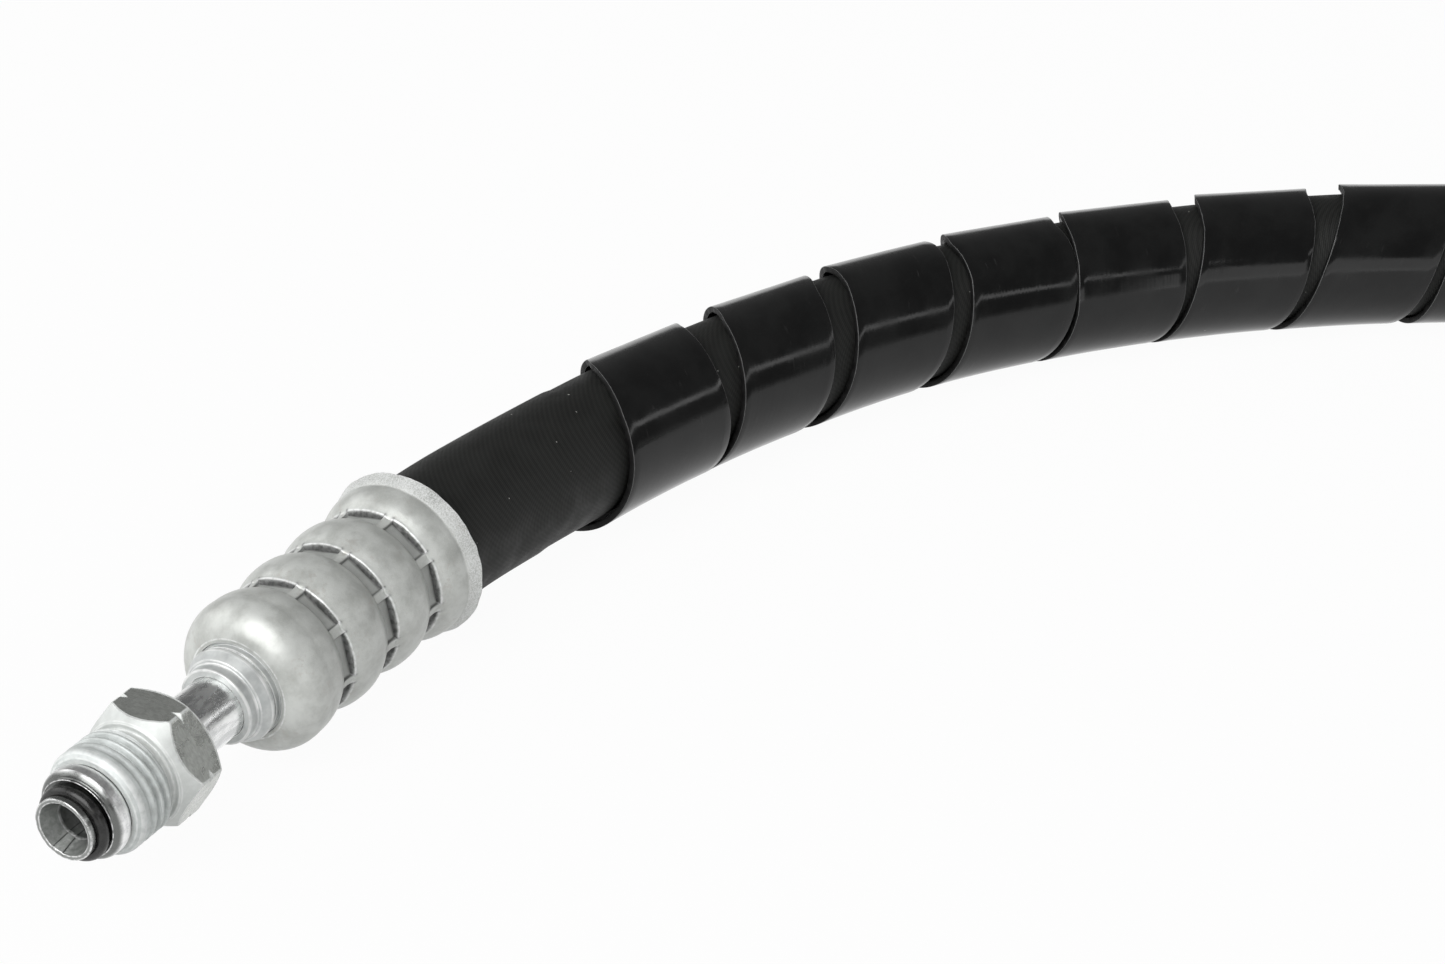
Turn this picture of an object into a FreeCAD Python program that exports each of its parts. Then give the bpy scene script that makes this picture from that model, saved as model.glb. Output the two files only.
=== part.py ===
"""Hydraulic hose assembly: two steel tube ends with tube nuts, crimped to one reinforced hose.

Millimetres, +Z up. The origin is the centre of end A's tip face. The axis of end A runs along +X
into the hose, and the hose then bends to the right on its way to end B, lying on the ground.
In each end, s is the distance from the tip face along the axis and r the distance from the axis.
"""
import FreeCAD, Part
import math
import os

V = FreeCAD.Vector

# Steel end tube, with a rolled groove and a formed bead near its tip
tube_r = 4.75
tube_wall = 1.05
pilot_r = 4.7
pilot_length = 0.9
mouth_chamfer = 0.35
groove_wall = 0.97
neck_length = 5.0
neck_slope = 0.7
shoulder_drop = 0.05
shoulder_length = 0.4
bead_rise = 0.9
bead_nose_length = 0.9
bead_crest_length = 1.5

# O-ring in the rolled groove
o_ring_outer_r = 6.0
o_ring_section_r = 1.0
o_ring_clearance = 0.03

# Tube nut, which turns on the tube and pushes on the bead's 45 degree back
nut_front_gap = 0.6
nut_bore_clearance = 0.08
nut_seat_clearance = 0.1
nut_bore_chamfer = 0.4
lead_drop = 0.75
thread_r = 8.0
thread_pitch = 1.5
thread_depth = 0.92
thread_crest = 0.25
thread_flank = 30.0
thread_length = 7.6
thread_start = 3.0
undercut_depth = 0.18
undercut_length = 1.1
ring_chamfer = 0.3
hex_rise = 0.5
hex_cone_length = 2.4
hex_side_length = 4.1
hex_back_length = 1.1
hex_back_rim = 0.05

# Hose stem: socket on the tube, flange in the ferrule's hole, grooved insert in the hose
stem_front = 33.7
socket_clearance = 0.03
socket_end_gap = 0.1
socket_stop = 0.15
collar_wall = 1.2
collar_length = 1.8
edge_chamfer = 0.2
sleeve_step = 0.5
sleeve_rise = 0.85
sleeve_length = 2.1
recess_depth = 0.4
recess_length = 1.4
stem_bore_r = 3.25
stem_shoulder_rise = 0.7
stem_shoulder_length = 1.0
insert_length = 37.0
insert_clearance = 0.05
insert_nose = 0.6
barb_count = 7
barb_first = 4.5
barb_pitch = 4.6
barb_length = 2.6
barb_depth = 0.45

# Crimped ferrule
hole_clearance = 0.05
flange_thickness = 2.0
flange_gap = 0.05
ferrule_wall = 1.35
front_rim = 0.65
front_crown_drop = 1.05
front_crown_length = 1.8
bubble_rise = 0.98
bubble_shoulder_drop = 0.3
first_bubble_length = 10.4
crimp_count = 3
crimp_pitch = 10.9
crimp_width = 2.4
pressed_cover_wall = 0.42
crimp_jaws = 8
crimp_angle = 11.0
lip_rise_length = 2.0
lip_crease_rise = 0.55
lip_crease_length = 5.0
lip_flare = 0.9
lip_length = 2.4
lip_mouth_gap = 1.0

# Reinforced hose, from its bore outwards
hose_bore_r = 4.75
inner_tube_wall = 1.6
braid_wall = 0.6
friction_wall = 0.5
cover_wall = 2.42
layer_gap = 0.02
cover_clearance = 0.05
hose_end_gap = 0.15
cover_free_length = 3.5

# Spiral guard: one strip wound left-handed round the hose
guard_clearance = 0.25
guard_wall = 1.0
guard_pitch = 22.2
guard_width = 20.4
guard_inset = 29.6
guard_end_angle = -130.0
guard_flare = 0.6
guard_flare_turn = 180.0
sections_per_turn = 12

# The free hose's route between the last crimps, seen from above, chosen by hand.
# The third value is the share of the drop from the ferrules' axis to the lying hose.
ROUTE = [
    (74.0, 0.0, 0.0),
    (86.0, 0.0, 0.0),
    (108.0, -2.2, 0.2),
    (136.0, -6.0, 0.6),
    (162.0, -14.2, 1.0),
    (185.0, -25.0, 1.0),
    (205.5, -39.0, 1.0),
    (224.5, -56.7, 1.0),
    (241.0, -77.0, 1.0),
    (255.0, -99.5, 1.0),
    (267.0, -124.0, 1.0),
    (277.0, -150.0, 1.0),
    (285.0, -176.0, 1.0),
    (291.0, -203.0, 0.6),
    (295.0, -228.5, 0.2),
    (297.7, -250.0, 0.0),
    (298.6, -262.0, 0.0),
]

# Radii of the hose's layers
inner_tube_r = hose_bore_r + inner_tube_wall
inner_braid_r = inner_tube_r + layer_gap + braid_wall
friction_r = inner_braid_r + layer_gap + friction_wall
outer_braid_r = friction_r + layer_gap + braid_wall
cover_r = outer_braid_r + layer_gap + cover_wall
guard_inner_r = cover_r + guard_clearance
guard_outer_r = guard_inner_r + guard_wall

# Radii of the end tube and the nut
tube_bore_r = tube_r - tube_wall
groove_r = o_ring_outer_r - 2 * o_ring_section_r - o_ring_clearance
neck_r = groove_r - groove_wall
shoulder_r = o_ring_outer_r - shoulder_drop
bead_r = shoulder_r + bead_rise
lead_r = thread_r - lead_drop
undercut_r = thread_r - thread_depth - undercut_depth
hex_flat_r = thread_r + hex_rise
hex_corner_r = hex_flat_r / math.cos(math.pi / 6)

# Radii of the stem and the ferrule
collar_r = tube_r + collar_wall
sleeve_front_r = collar_r + sleeve_step
sleeve_r = sleeve_front_r + sleeve_rise
recess_r = sleeve_r - recess_depth
stem_shoulder_r = sleeve_r + stem_shoulder_rise
insert_r = hose_bore_r - insert_clearance
hole_r = sleeve_r + hole_clearance
pressed_cover_r = outer_braid_r + layer_gap + pressed_cover_wall
print_inner_r = pressed_cover_r + cover_clearance
print_r = print_inner_r + ferrule_wall
print_corner_r = print_r / math.cos(math.pi / crimp_jaws)
bubble_r = print_corner_r + bubble_rise
lip_crease_r = bubble_r + lip_crease_rise
lip_r = lip_crease_r + lip_flare

# Places along each end
groove_end = pilot_length + 2 * (o_ring_section_r + o_ring_clearance)
shoulder_end = groove_end + shoulder_length
crest_start = shoulder_end + bead_nose_length
crest_end = crest_start + bead_crest_length
nut_front = crest_end + nut_front_gap
nut_ring = nut_front + thread_length + undercut_length
hex_start = nut_ring + ring_chamfer + hex_cone_length
nut_back = hex_start + hex_side_length + hex_back_length
sleeve_start = stem_front + collar_length
sleeve_end = sleeve_start + sleeve_length
ferrule_front = sleeve_end + recess_length
flange_back = ferrule_front + flange_thickness
stem_shoulder = flange_back + flange_gap
socket_end = stem_shoulder - socket_stop
hose_end = stem_shoulder + stem_shoulder_length + hose_end_gap
insert_end = hose_end - hose_end_gap + insert_length
first_crimp = ferrule_front + first_bubble_length + crimp_width / 2
last_crimp = first_crimp + (crimp_count - 1) * crimp_pitch
crimp_end = last_crimp + crimp_width / 2
lip_crease = crimp_end + lip_crease_length
lip_end = lip_crease + lip_length


def point(s, r):
    """Point of an end's profile, at s along the axis and r above it."""
    return V(s, 0, r)


def around(s, r, angle):
    """Point at an angle round the axis, counted from the right-hand side towards the top."""
    turn = math.radians(angle)
    return V(s, -r * math.cos(turn), r * math.sin(turn))


def turned(steps):
    """Solid turned about the axis from a closed outline.

    A step is a corner (s, r), or an arc (s, r, s_end, r_end) through its first point.
    """
    edges = []
    here = point(*steps[-1][-2:])
    for step in steps:
        end = point(*step[-2:])
        if len(step) == 4:
            edges.append(Part.Arc(here, point(*step[:2]), end).toShape())
        else:
            edges.append(Part.LineSegment(here, end).toShape())
        here = end
    return Part.Face(Part.Wire(edges)).revolve(V(0, 0, 0), V(1, 0, 0), 360)


def prism(sides, flat_r, face_angle, s_start, length):
    """Prism along the axis, with the middle of one side at face_angle."""
    corner_r = flat_r / math.cos(math.pi / sides)
    half = 180.0 / sides
    corners = [around(s_start, corner_r, face_angle + half + 2 * half * k) for k in range(sides)]
    return Part.Face(Part.makePolygon(corners + corners[:1])).extrude(V(length, 0, 0))


def rod(r, s_start, length):
    """Cylinder along the axis."""
    return Part.makeCylinder(r, length, V(s_start, 0, 0), V(1, 0, 0))


def end_tube():
    """Steel tube with its tapered mouth, the rolled groove, the shoulder and the formed bead."""
    neck_end = groove_end + neck_length
    nose_middle = (shoulder_end + crest_start) / 2 - bead_nose_length / 8
    nose_r = (shoulder_r + bead_r) / 2 + bead_nose_length / 8
    return turned([
        (0, tube_bore_r + mouth_chamfer),
        (0, pilot_r),
        (pilot_length, pilot_r),
        (pilot_length, groove_r),
        (groove_end, groove_r),
        (groove_end, shoulder_r),
        (shoulder_end, shoulder_r),
        (nose_middle, nose_r, crest_start, bead_r),
        (crest_end, bead_r),
        (crest_end + bead_r - tube_r, tube_r),
        (socket_end - socket_end_gap, tube_r),
        (socket_end - socket_end_gap, tube_bore_r),
        (neck_end + neck_slope, tube_bore_r),
        (neck_end, neck_r),
        (groove_end, neck_r),
        (mouth_chamfer, tube_bore_r),
    ])


def o_ring():
    """Rubber ring lying in the tube's groove."""
    middle = pilot_length + o_ring_section_r + o_ring_clearance
    return Part.makeTorus(o_ring_outer_r - o_ring_section_r, o_ring_section_r,
                          V(middle, 0, 0), V(1, 0, 0))


def thread_groove():
    """Helical groove of the nut's thread, running out into the undercut."""
    margin = 0.1
    top = (thread_pitch - thread_crest) / 2
    slope = math.tan(math.radians(thread_flank))
    outer = top + margin * slope
    root = top - thread_depth * slope
    start = nut_front + thread_start
    length = thread_length + undercut_length / 2 - thread_start
    helix = Part.makeHelix(thread_pitch, length, thread_r)
    corners = [
        V(thread_r + margin, 0, -outer),
        V(thread_r + margin, 0, outer),
        V(thread_r - thread_depth, 0, root),
        V(thread_r - thread_depth, 0, -root),
    ]
    groove = Part.Wire(helix).makePipeShell([Part.makePolygon(corners + corners[:1])], True, True)
    groove.rotate(V(0, 0, 0), V(0, 1, 0), 90)
    groove.translate(V(start, 0, 0))
    return groove


def tube_nut():
    """Hexagon nut with an outside thread and a 45 degree seat for the bead's back."""
    bore_r = tube_r + nut_bore_clearance
    seat_r = bead_r - nut_front_gap + nut_seat_clearance * math.sqrt(2)
    seat_end = nut_front + seat_r - bore_r
    undercut_start = nut_ring - undercut_length
    hex_end = nut_back - hex_back_length
    body = turned([
        (nut_front, seat_r),
        (nut_front, lead_r),
        (nut_front + thread_r - lead_r, thread_r),
        (undercut_start - (thread_r - undercut_r) / 2, thread_r),
        (undercut_start, undercut_r),
        (nut_ring, undercut_r),
        (nut_ring, thread_r - ring_chamfer),
        (nut_ring + ring_chamfer, thread_r),
        (hex_start, hex_corner_r),
        (hex_end, hex_corner_r),
        (nut_back, hex_flat_r - hex_back_rim),
        (nut_back, bore_r + nut_bore_chamfer),
        (nut_back - nut_bore_chamfer, bore_r),
        (seat_end, bore_r),
    ])
    hexagon = prism(6, hex_flat_r, 30.0, nut_front, nut_back - nut_front)
    return body.common(hexagon).cut(thread_groove())


def hose_stem():
    """Stem with the tube's socket, collar, sleeve, ferrule seat and grooved insert."""
    socket_r = tube_r + socket_clearance
    insert_start = insert_end - insert_length
    steps = [
        (stem_front, socket_r),
        (stem_front, collar_r - edge_chamfer),
        (stem_front + edge_chamfer, collar_r),
        (sleeve_start - edge_chamfer, collar_r),
        (sleeve_start, collar_r - edge_chamfer),
        (sleeve_start, sleeve_front_r),
        (sleeve_end - 2 * edge_chamfer, sleeve_r),
        (sleeve_end - edge_chamfer, sleeve_r),
        (sleeve_end, recess_r),
        (ferrule_front + edge_chamfer, recess_r),
        (ferrule_front + edge_chamfer, sleeve_r),
        (stem_shoulder, sleeve_r),
        (stem_shoulder, stem_shoulder_r),
        (insert_start, stem_shoulder_r),
        (insert_start, insert_r),
    ]
    for k in range(barb_count):
        barb = insert_start + barb_first + k * barb_pitch
        steps += [(barb, insert_r), (barb, insert_r - barb_depth), (barb + barb_length, insert_r)]
    steps += [
        (insert_end - insert_nose, insert_r),
        (insert_end, insert_r - insert_nose),
        (insert_end, stem_bore_r),
        (socket_end, stem_bore_r),
        (socket_end, socket_r),
    ]
    return turned(steps)


def crimped(top_r, band_r):
    """Outline steps over the crimps, from the first band to the end of the last one."""
    half = crimp_width / 2
    steps = []
    for k in range(crimp_count):
        band = first_crimp + k * crimp_pitch
        if k:
            steps.append((band - crimp_pitch / 2, top_r, band - half, band_r))
        steps.append((band + half, band_r))
    return steps


def ferrule():
    """Crimped sleeve: bulges between the jaw prints, and a flared lip at the hose's side."""
    crown_r = bubble_r - front_crown_drop
    bubble_top = first_crimp - crimp_pitch / 2
    band_start = first_crimp - crimp_width / 2
    fall = (bubble_top + band_start) / 2
    outer = [
        (ferrule_front, hole_r),
        (ferrule_front, hole_r + front_rim),
        (ferrule_front + front_crown_length, crown_r, bubble_top, bubble_r),
        (fall, bubble_r - bubble_shoulder_drop, band_start, print_corner_r),
    ]
    outer += crimped(bubble_r, print_corner_r)
    outer += [
        (crimp_end + lip_rise_length, bubble_r, lip_crease, lip_crease_r),
        (lip_end, lip_r),
        (lip_end, cover_r + lip_mouth_gap),
        (lip_crease, cover_r + cover_clearance),
    ]
    cavity = [(crimp_end + cover_free_length, cover_r + cover_clearance)]
    middle_r = cover_r + cover_clearance - (cover_r - pressed_cover_r) / 3
    cavity += [(crimp_end + cover_free_length / 2, middle_r, crimp_end, print_inner_r)]
    inside = crimped(bubble_r - ferrule_wall, print_inner_r)
    cavity += reverse_steps([(band_start, print_inner_r)] + inside)
    cavity += [(bubble_top, bubble_r - ferrule_wall, flange_back, crown_r - ferrule_wall / 2)]
    cavity += [(flange_back, hole_r)]
    return cut_prints(turned(outer + cavity))


def reverse_steps(steps):
    """The same outline walked the other way, without its last corner."""
    back = []
    for here, after in zip(reversed(steps[:-1]), reversed(steps[1:])):
        if len(after) == 4:
            back.append(after[:2] + here[-2:])
        else:
            back.append(here[-2:])
    return back


def cut_prints(sleeve):
    """The flat prints of the crimping jaws."""
    for k in range(crimp_count):
        start = first_crimp + k * crimp_pitch - crimp_width / 2
        ring = rod(lip_r, start, crimp_width)
        core = prism(crimp_jaws, print_r, crimp_angle, start, crimp_width)
        sleeve = sleeve.cut(ring.cut(core))
    return sleeve


def cover_cutter():
    """What the ferrule presses off the outside of the hose's cover."""
    top_r = bubble_r - ferrule_wall - cover_clearance
    front_top_r = top_r - front_crown_drop + ferrule_wall / 2
    free = crimp_end + cover_free_length
    steps = [(flange_back, front_top_r)]
    steps += [(first_crimp - crimp_pitch / 2, top_r, first_crimp - crimp_width / 2, pressed_cover_r)]
    steps += crimped(top_r, pressed_cover_r)
    rise = crimp_end + cover_free_length / 2
    steps += [(rise, cover_r - (cover_r - pressed_cover_r) / 3, free, cover_r)]
    steps += [(free, lip_r), (flange_back, lip_r)]
    return turned(steps)


def to_end_b():
    """Placement that carries an end's solids from end A to end B."""
    last = V(*route_point(ROUTE[-1]))
    before = V(*route_point(ROUTE[-2]))
    inwards = before - last
    angle = math.degrees(math.atan2(inwards.y, inwards.x))
    turn = FreeCAD.Rotation(V(0, 0, 1), angle)
    tip = last - turn.multVec(V(ROUTE[0][0], 0, 0))
    return FreeCAD.Placement(tip, turn)


def route_point(entry):
    """Point of the route, with the drop that lays the guard on the ground."""
    x, y, share = entry
    return x, y, -share * (lip_r - guard_outer_r)


def route_edges():
    """The hose's centreline: straight runs joined by tangent arcs, from cut end to cut end."""
    last = to_end_b().multVec(V(hose_end, 0, 0))
    corners = [V(*route_point(entry)) for entry in ROUTE]
    here = V(hose_end, 0, 0)
    edges = []
    for before, corner, after in zip(corners, corners[1:], corners[2:]):
        run_in = corner - before
        run_out = after - corner
        half_turn = run_in.getAngle(run_out) / 2
        reach = 0.45 * min(run_in.Length, run_out.Length)
        radius = reach / math.tan(half_turn)
        start = corner - run_in * (reach / run_in.Length)
        end = corner + run_out * (reach / run_out.Length)
        inward = (start - corner) + (end - corner)
        middle = corner + inward * (radius * (1 / math.cos(half_turn) - 1) / inward.Length)
        edges.append(Part.LineSegment(here, start).toShape())
        edges.append(Part.Arc(start, middle, end).toShape())
        here = end
        print("route: turn %.1f degrees, radius %.0f mm" % (math.degrees(2 * half_turn), radius))
    edges.append(Part.LineSegment(here, last).toShape())
    return edges


def hose_layer(edges, inner_r, outer_r):
    """One layer of the hose, as a tube along the whole route."""
    path = Part.Wire(edges)
    solids = []
    for r in (outer_r, inner_r):
        ring = Part.Wire(Part.makeCircle(r, V(hose_end, 0, 0), V(1, 0, 0)))
        solids.append(path.makePipeShell([ring], True, False))
    layer = solids[0].cut(solids[1])
    ideal = math.pi * (outer_r ** 2 - inner_r ** 2) * path.Length
    print("layer %.2f to %.2f: volume %.0f, section times length %.0f"
          % (inner_r, outer_r, layer.Volume, ideal))
    return layer


def place_on(edges, length):
    """Point and tangent of the route at a length from its start."""
    for edge in edges:
        if length <= edge.Length or edge is edges[-1]:
            at = edge.getParameterByLength(min(length, edge.Length))
            return edge.valueAt(at), edge.tangentAt(at)
        length -= edge.Length


def round_hose(edges, length, angle, r):
    """Point at r from the hose's centreline, at an angle from its right-hand side upwards."""
    centre, along = place_on(edges, length)
    side = V(along.y, -along.x, 0).normalize()
    up = side.cross(along)
    turn = math.radians(angle)
    return centre + side * (r * math.cos(turn)) + up * (r * math.sin(turn))


def guard_section(edges, length, angle, rise):
    """The strip's section: two arcs along the hose, joined by its two edges."""
    half = guard_width / 2
    inner_r = guard_inner_r + rise
    outer_r = guard_outer_r + rise
    low = [round_hose(edges, length + d, angle, inner_r) for d in (-half, 0, half)]
    high = [round_hose(edges, length + d, angle, outer_r) for d in (half, 0, -half)]
    return Part.Wire([
        Part.Arc(*low).toShape(),
        Part.LineSegment(low[2], high[0]).toShape(),
        Part.Arc(*high).toShape(),
        Part.LineSegment(high[2], low[0]).toShape(),
    ])


def closed_loft(sections):
    """Solid through sections that aren't flat, closed at both ends by ruled faces."""
    faces = Part.makeLoft(sections, False, False).Faces
    for section in (sections[0], sections[-1]):
        faces.append(Part.makeRuledSurface(section.Edges[0], section.Edges[2]))
    shell = Part.makeShell(faces)
    shell.sewShape()
    return Part.makeSolid(shell)


def spiral_guard(edges):
    """Flat strip wound left-handed round the hose, sprung open a little at both ends."""
    route_length = sum(edge.Length for edge in edges)
    start = lip_end - hose_end + guard_inset + guard_width / 2
    run = route_length - 2 * start
    turns = run / guard_pitch
    steps = math.ceil(turns * sections_per_turn)
    flare_share = guard_flare_turn / 360 / turns
    sections = []
    for k in range(steps + 1):
        share = k / steps
        from_end = min(share, 1 - share) / flare_share
        rise = guard_flare * max(0.0, 1 - from_end) ** 2
        angle = guard_end_angle + 360 * turns * share
        sections.append(guard_section(edges, start + run * share, angle, rise))
    strip = closed_loft(sections)
    lower = [section.Vertexes for section in sections]
    gap = min(front.Point.distanceToPoint(back.Point)
              for k in range(len(lower) - sections_per_turn)
              for front in lower[k][1:3]
              for turned_on in lower[k + sections_per_turn - 1:k + sections_per_turn + 2]
              for back in (turned_on[0], turned_on[3]))
    print("guard: %.2f turns, least gap to itself %.2f mm" % (turns, gap))
    ideal = guard_width * math.pi * (guard_outer_r ** 2 - guard_inner_r ** 2) * turns
    print("guard: volume %.0f, strip times turns %.0f, lowest point %.2f"
          % (strip.Volume, ideal, strip.optimalBoundingBox(True, False).ZMin))
    return strip


def export(name, shape):
    """Write one node, and say what it is."""
    solid = shape.Solids[0] if len(shape.Solids) == 1 else shape
    solid.exportStep(os.path.join("parts", name + ".step"))
    print("%-16s solids %d, valid %s, volume %.1f"
          % (name, len(shape.Solids), shape.isValid(), shape.Volume))


def make_ends():
    """The five pieces of each end."""
    pieces = {
        "end_tube": end_tube(),
        "o_ring": o_ring(),
        "tube_nut": tube_nut(),
        "hose_stem": hose_stem(),
        "ferrule": ferrule(),
    }
    for suffix, placement in (("a", FreeCAD.Placement()), ("b", to_end_b())):
        for name, shape in pieces.items():
            placed = shape.copy()
            placed.Placement = placement.multiply(placed.Placement)
            export(name + "_" + suffix, placed)


def make_hose():
    """The hose's layers, and the guard round it."""
    edges = route_edges()
    layers = [
        ("inner_tube", hose_bore_r, inner_tube_r),
        ("inner_braid", inner_tube_r + layer_gap, inner_braid_r),
        ("friction_layer", inner_braid_r + layer_gap, friction_r),
        ("outer_braid", friction_r + layer_gap, outer_braid_r),
    ]
    for name, inner_r, outer_r in layers:
        export(name, hose_layer(edges, inner_r, outer_r))
    cover = hose_layer(edges, outer_braid_r + layer_gap, cover_r)
    cutter = cover_cutter()
    far_cutter = cutter.copy()
    far_cutter.Placement = to_end_b()
    export("cover", cover.cut(cutter).cut(far_cutter))
    export("spiral_guard", spiral_guard(edges))


os.makedirs("parts", exist_ok=True)
make_ends()
make_hose()
tip_b = to_end_b().Base
print("end B: tip %.4f %.4f %.4f, turned %.4f degrees"
      % (tip_b.x, tip_b.y, tip_b.z, math.degrees(to_end_b().Rotation.Angle)))
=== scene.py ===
# %% [markdown]
# # A hydraulic hose assembly
# A reinforced rubber hose with the same steel fitting crimped on each end: a bare steel tube with an
# O-ring and a formed bead, a loose hexagon nut that turns on the tube, a stem, and a ferrule pressed
# on in three rings of jaw prints. A glossy black strip is wound round the hose to guard it.
# Places are in metres, in the frame of the packed model. Outlines are written in millimetres.

# %% Load the packed model
import math
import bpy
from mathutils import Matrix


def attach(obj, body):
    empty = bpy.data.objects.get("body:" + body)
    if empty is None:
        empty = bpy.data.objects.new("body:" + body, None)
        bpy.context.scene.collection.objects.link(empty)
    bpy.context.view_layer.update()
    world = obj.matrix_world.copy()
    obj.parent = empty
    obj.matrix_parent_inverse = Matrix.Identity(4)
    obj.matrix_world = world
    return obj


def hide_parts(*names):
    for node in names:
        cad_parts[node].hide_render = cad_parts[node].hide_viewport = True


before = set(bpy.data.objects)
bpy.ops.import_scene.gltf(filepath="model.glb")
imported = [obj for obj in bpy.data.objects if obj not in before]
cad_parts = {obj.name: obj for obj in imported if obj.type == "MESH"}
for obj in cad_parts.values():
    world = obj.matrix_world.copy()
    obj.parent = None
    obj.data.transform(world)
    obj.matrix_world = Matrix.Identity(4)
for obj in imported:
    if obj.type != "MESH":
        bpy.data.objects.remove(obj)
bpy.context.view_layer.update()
from types import SimpleNamespace
import bpy
import numpy as np
from mathutils import Matrix, Vector

MM = 0.001

# %% [markdown]
# ## The camera
# The photograph was taken from a little above the fitting's tip, with a long lens. A camera could
# be aimed at a target, but its place was worked out from circles of the fitting, so it is written
# as a place and two directions. The lens is 4000 pixels long on a picture 1445 pixels wide.

# %% Camera
def make_camera(place, right, forward, lens_pixels, width_pixels):
    """Camera at a place in metres that looks forward."""
    data = bpy.data.cameras.new("camera")
    data.sensor_width = 36.0
    data.lens = 36.0 * lens_pixels / width_pixels
    data.clip_start = 0.01
    camera = bpy.data.objects.new("camera", data)
    bpy.context.scene.collection.objects.link(camera)
    forward = Vector(forward).normalized()
    right = Vector(right).normalized()
    turn = Matrix((right, right.cross(forward), -forward)).transposed().to_4x4()
    camera.matrix_world = Matrix.Translation(place) @ turn
    return camera


camera = make_camera((-0.32983, -0.29185, 0.30639), (0.50180, -0.86498, 0.0),
                     (0.74617, 0.43287, -0.50582), 4000.0, 1445.0)
bpy.context.scene.camera = camera
print("camera lens:", round(camera.data.lens, 2), "mm")

# %% [markdown]
# ## The hose's line
# A hose lies on one smooth curve. The route's points are the control points of a NURBS spline,
# which passes near them without a kink. They are the solid hose's own route, moved sideways by up
# to 2.4 mm to where the photograph's edges lie. The spline's order is set after the points are
# added, because it can't be higher than the number of points. The layers and the guard follow
# points that are read back from this spline, so they can't drift apart.

# %% Hose line
# How far the lying hose's line is below the ferrules' axis, in millimetres.
TOUCH_DROP = 1.3998
# Each point has x and y in millimetres, and its share of that drop.
ROUTE = [
    (74.0, 0.0, 0.0), (86.0, 0.0, 0.0), (107.9, -3.2, 0.2), (135.5, -8.3, 0.6),
    (161.1, -16.4, 1.0), (183.9, -26.9, 1.0), (204.0, -40.8, 1.0), (223.1, -58.0, 1.0),
    (239.8, -77.8, 1.0), (254.3, -99.9, 1.0), (267.0, -124.0, 1.0), (277.0, -150.0, 1.0),
    (285.0, -176.0, 1.0), (291.0, -203.0, 0.6), (295.0, -228.5, 0.2), (297.7, -250.0, 0.0),
    (298.6, -262.0, 0.0),
]


def hose_curve(name, points):
    """A smooth curve object whose control points are the given points, in metres."""
    data = bpy.data.curves.new(name, "CURVE")
    data.dimensions = "3D"
    spline = data.splines.new("NURBS")
    spline.points.add(len(points) - 1)
    for control, point in zip(spline.points, points):
        control.co = (*point, 1.0)
    spline.order_u = 3
    spline.use_endpoint_u = True
    spline.resolution_u = 20
    curve = bpy.data.objects.new(name, data)
    bpy.context.scene.collection.objects.link(curve)
    return curve


def read_line(curve):
    """Points of the smooth curve, read back from the mesh that it evaluates to."""
    bpy.context.view_layer.update()
    shown = curve.evaluated_get(bpy.context.evaluated_depsgraph_get())
    mesh = bpy.data.meshes.new_from_object(shown)
    points = np.array([v.co[:] for v in mesh.vertices])
    bpy.data.meshes.remove(mesh)
    return points


route_curve = hose_curve("route", [(x * MM, y * MM, -share * TOUCH_DROP * MM) for x, y, share in ROUTE])
hose_line = read_line(route_curve)
free_length = float(np.linalg.norm(np.diff(hose_line, axis=0), axis=1).sum())
print("hose line:", len(hose_line), "points,", round(free_length, 4), "m")

# %% [markdown]
# ## Skins
# A turned or wrapped piece is a grid of points that closes on itself both ways: round the axis,
# and out along its outside and back through its bore. It could be spun from a curve, but a grid
# lets every point be moved by a rule. One helper makes the mesh, turns its faces outwards by the
# sign of its volume, and keeps marks on its points for the finishes to read.

# %% Skins
FULL_TURN = 2.0 * math.pi


def skin(name, grid, marks=None):
    """Closed mesh from a grid of points (rows, columns, 3) in metres, with float or vector marks."""
    rows, columns = grid.shape[:2]
    here = np.arange(rows * columns).reshape(rows, columns)
    down = np.roll(here, -1, axis=0)
    quads = np.stack([here, down, np.roll(down, -1, axis=1), np.roll(here, -1, axis=1)], axis=-1)
    quads = quads.reshape(-1, 4)
    points = grid.reshape(-1, 3)
    a, b, c, d = (points[quads[:, k]] - points.mean(axis=0) for k in range(4))
    volume = np.einsum("ij,ij->i", a, np.cross(b, c) + np.cross(c, d)).sum() / 6.0
    if volume < 0:
        quads = quads[:, ::-1]
    mesh = bpy.data.meshes.new(name)
    mesh.from_pydata(points.tolist(), [], quads.tolist())
    mesh.shade_smooth()
    for mark, values in (marks or {}).items():
        values = np.broadcast_to(values, (rows, columns) + np.shape(values)[2:])
        kind = "FLOAT_VECTOR" if values.ndim == 3 else "FLOAT"
        layer = mesh.attributes.new(mark, kind, "POINT")
        layer.data.foreach_set("vector" if values.ndim == 3 else "value",
                               np.ascontiguousarray(values, dtype=np.float32).ravel())
    piece = bpy.data.objects.new(name, mesh)
    bpy.context.scene.collection.objects.link(piece)
    print(f"{name}: {len(quads)} faces, {abs(volume) * 1e6:.3f} cubic centimetres")
    return piece


# %% [markdown]
# ## Outlines
# A turned piece starts as an outline, corner by corner, in millimetres. Each corner says how much
# it is rounded, because real edges catch the light, and the rounded rows are marked as an edge, so
# that a finish can wear them. Round stretches come from three points of an arc. Rows are added
# only where a pattern, such as a thread, needs them.

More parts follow.
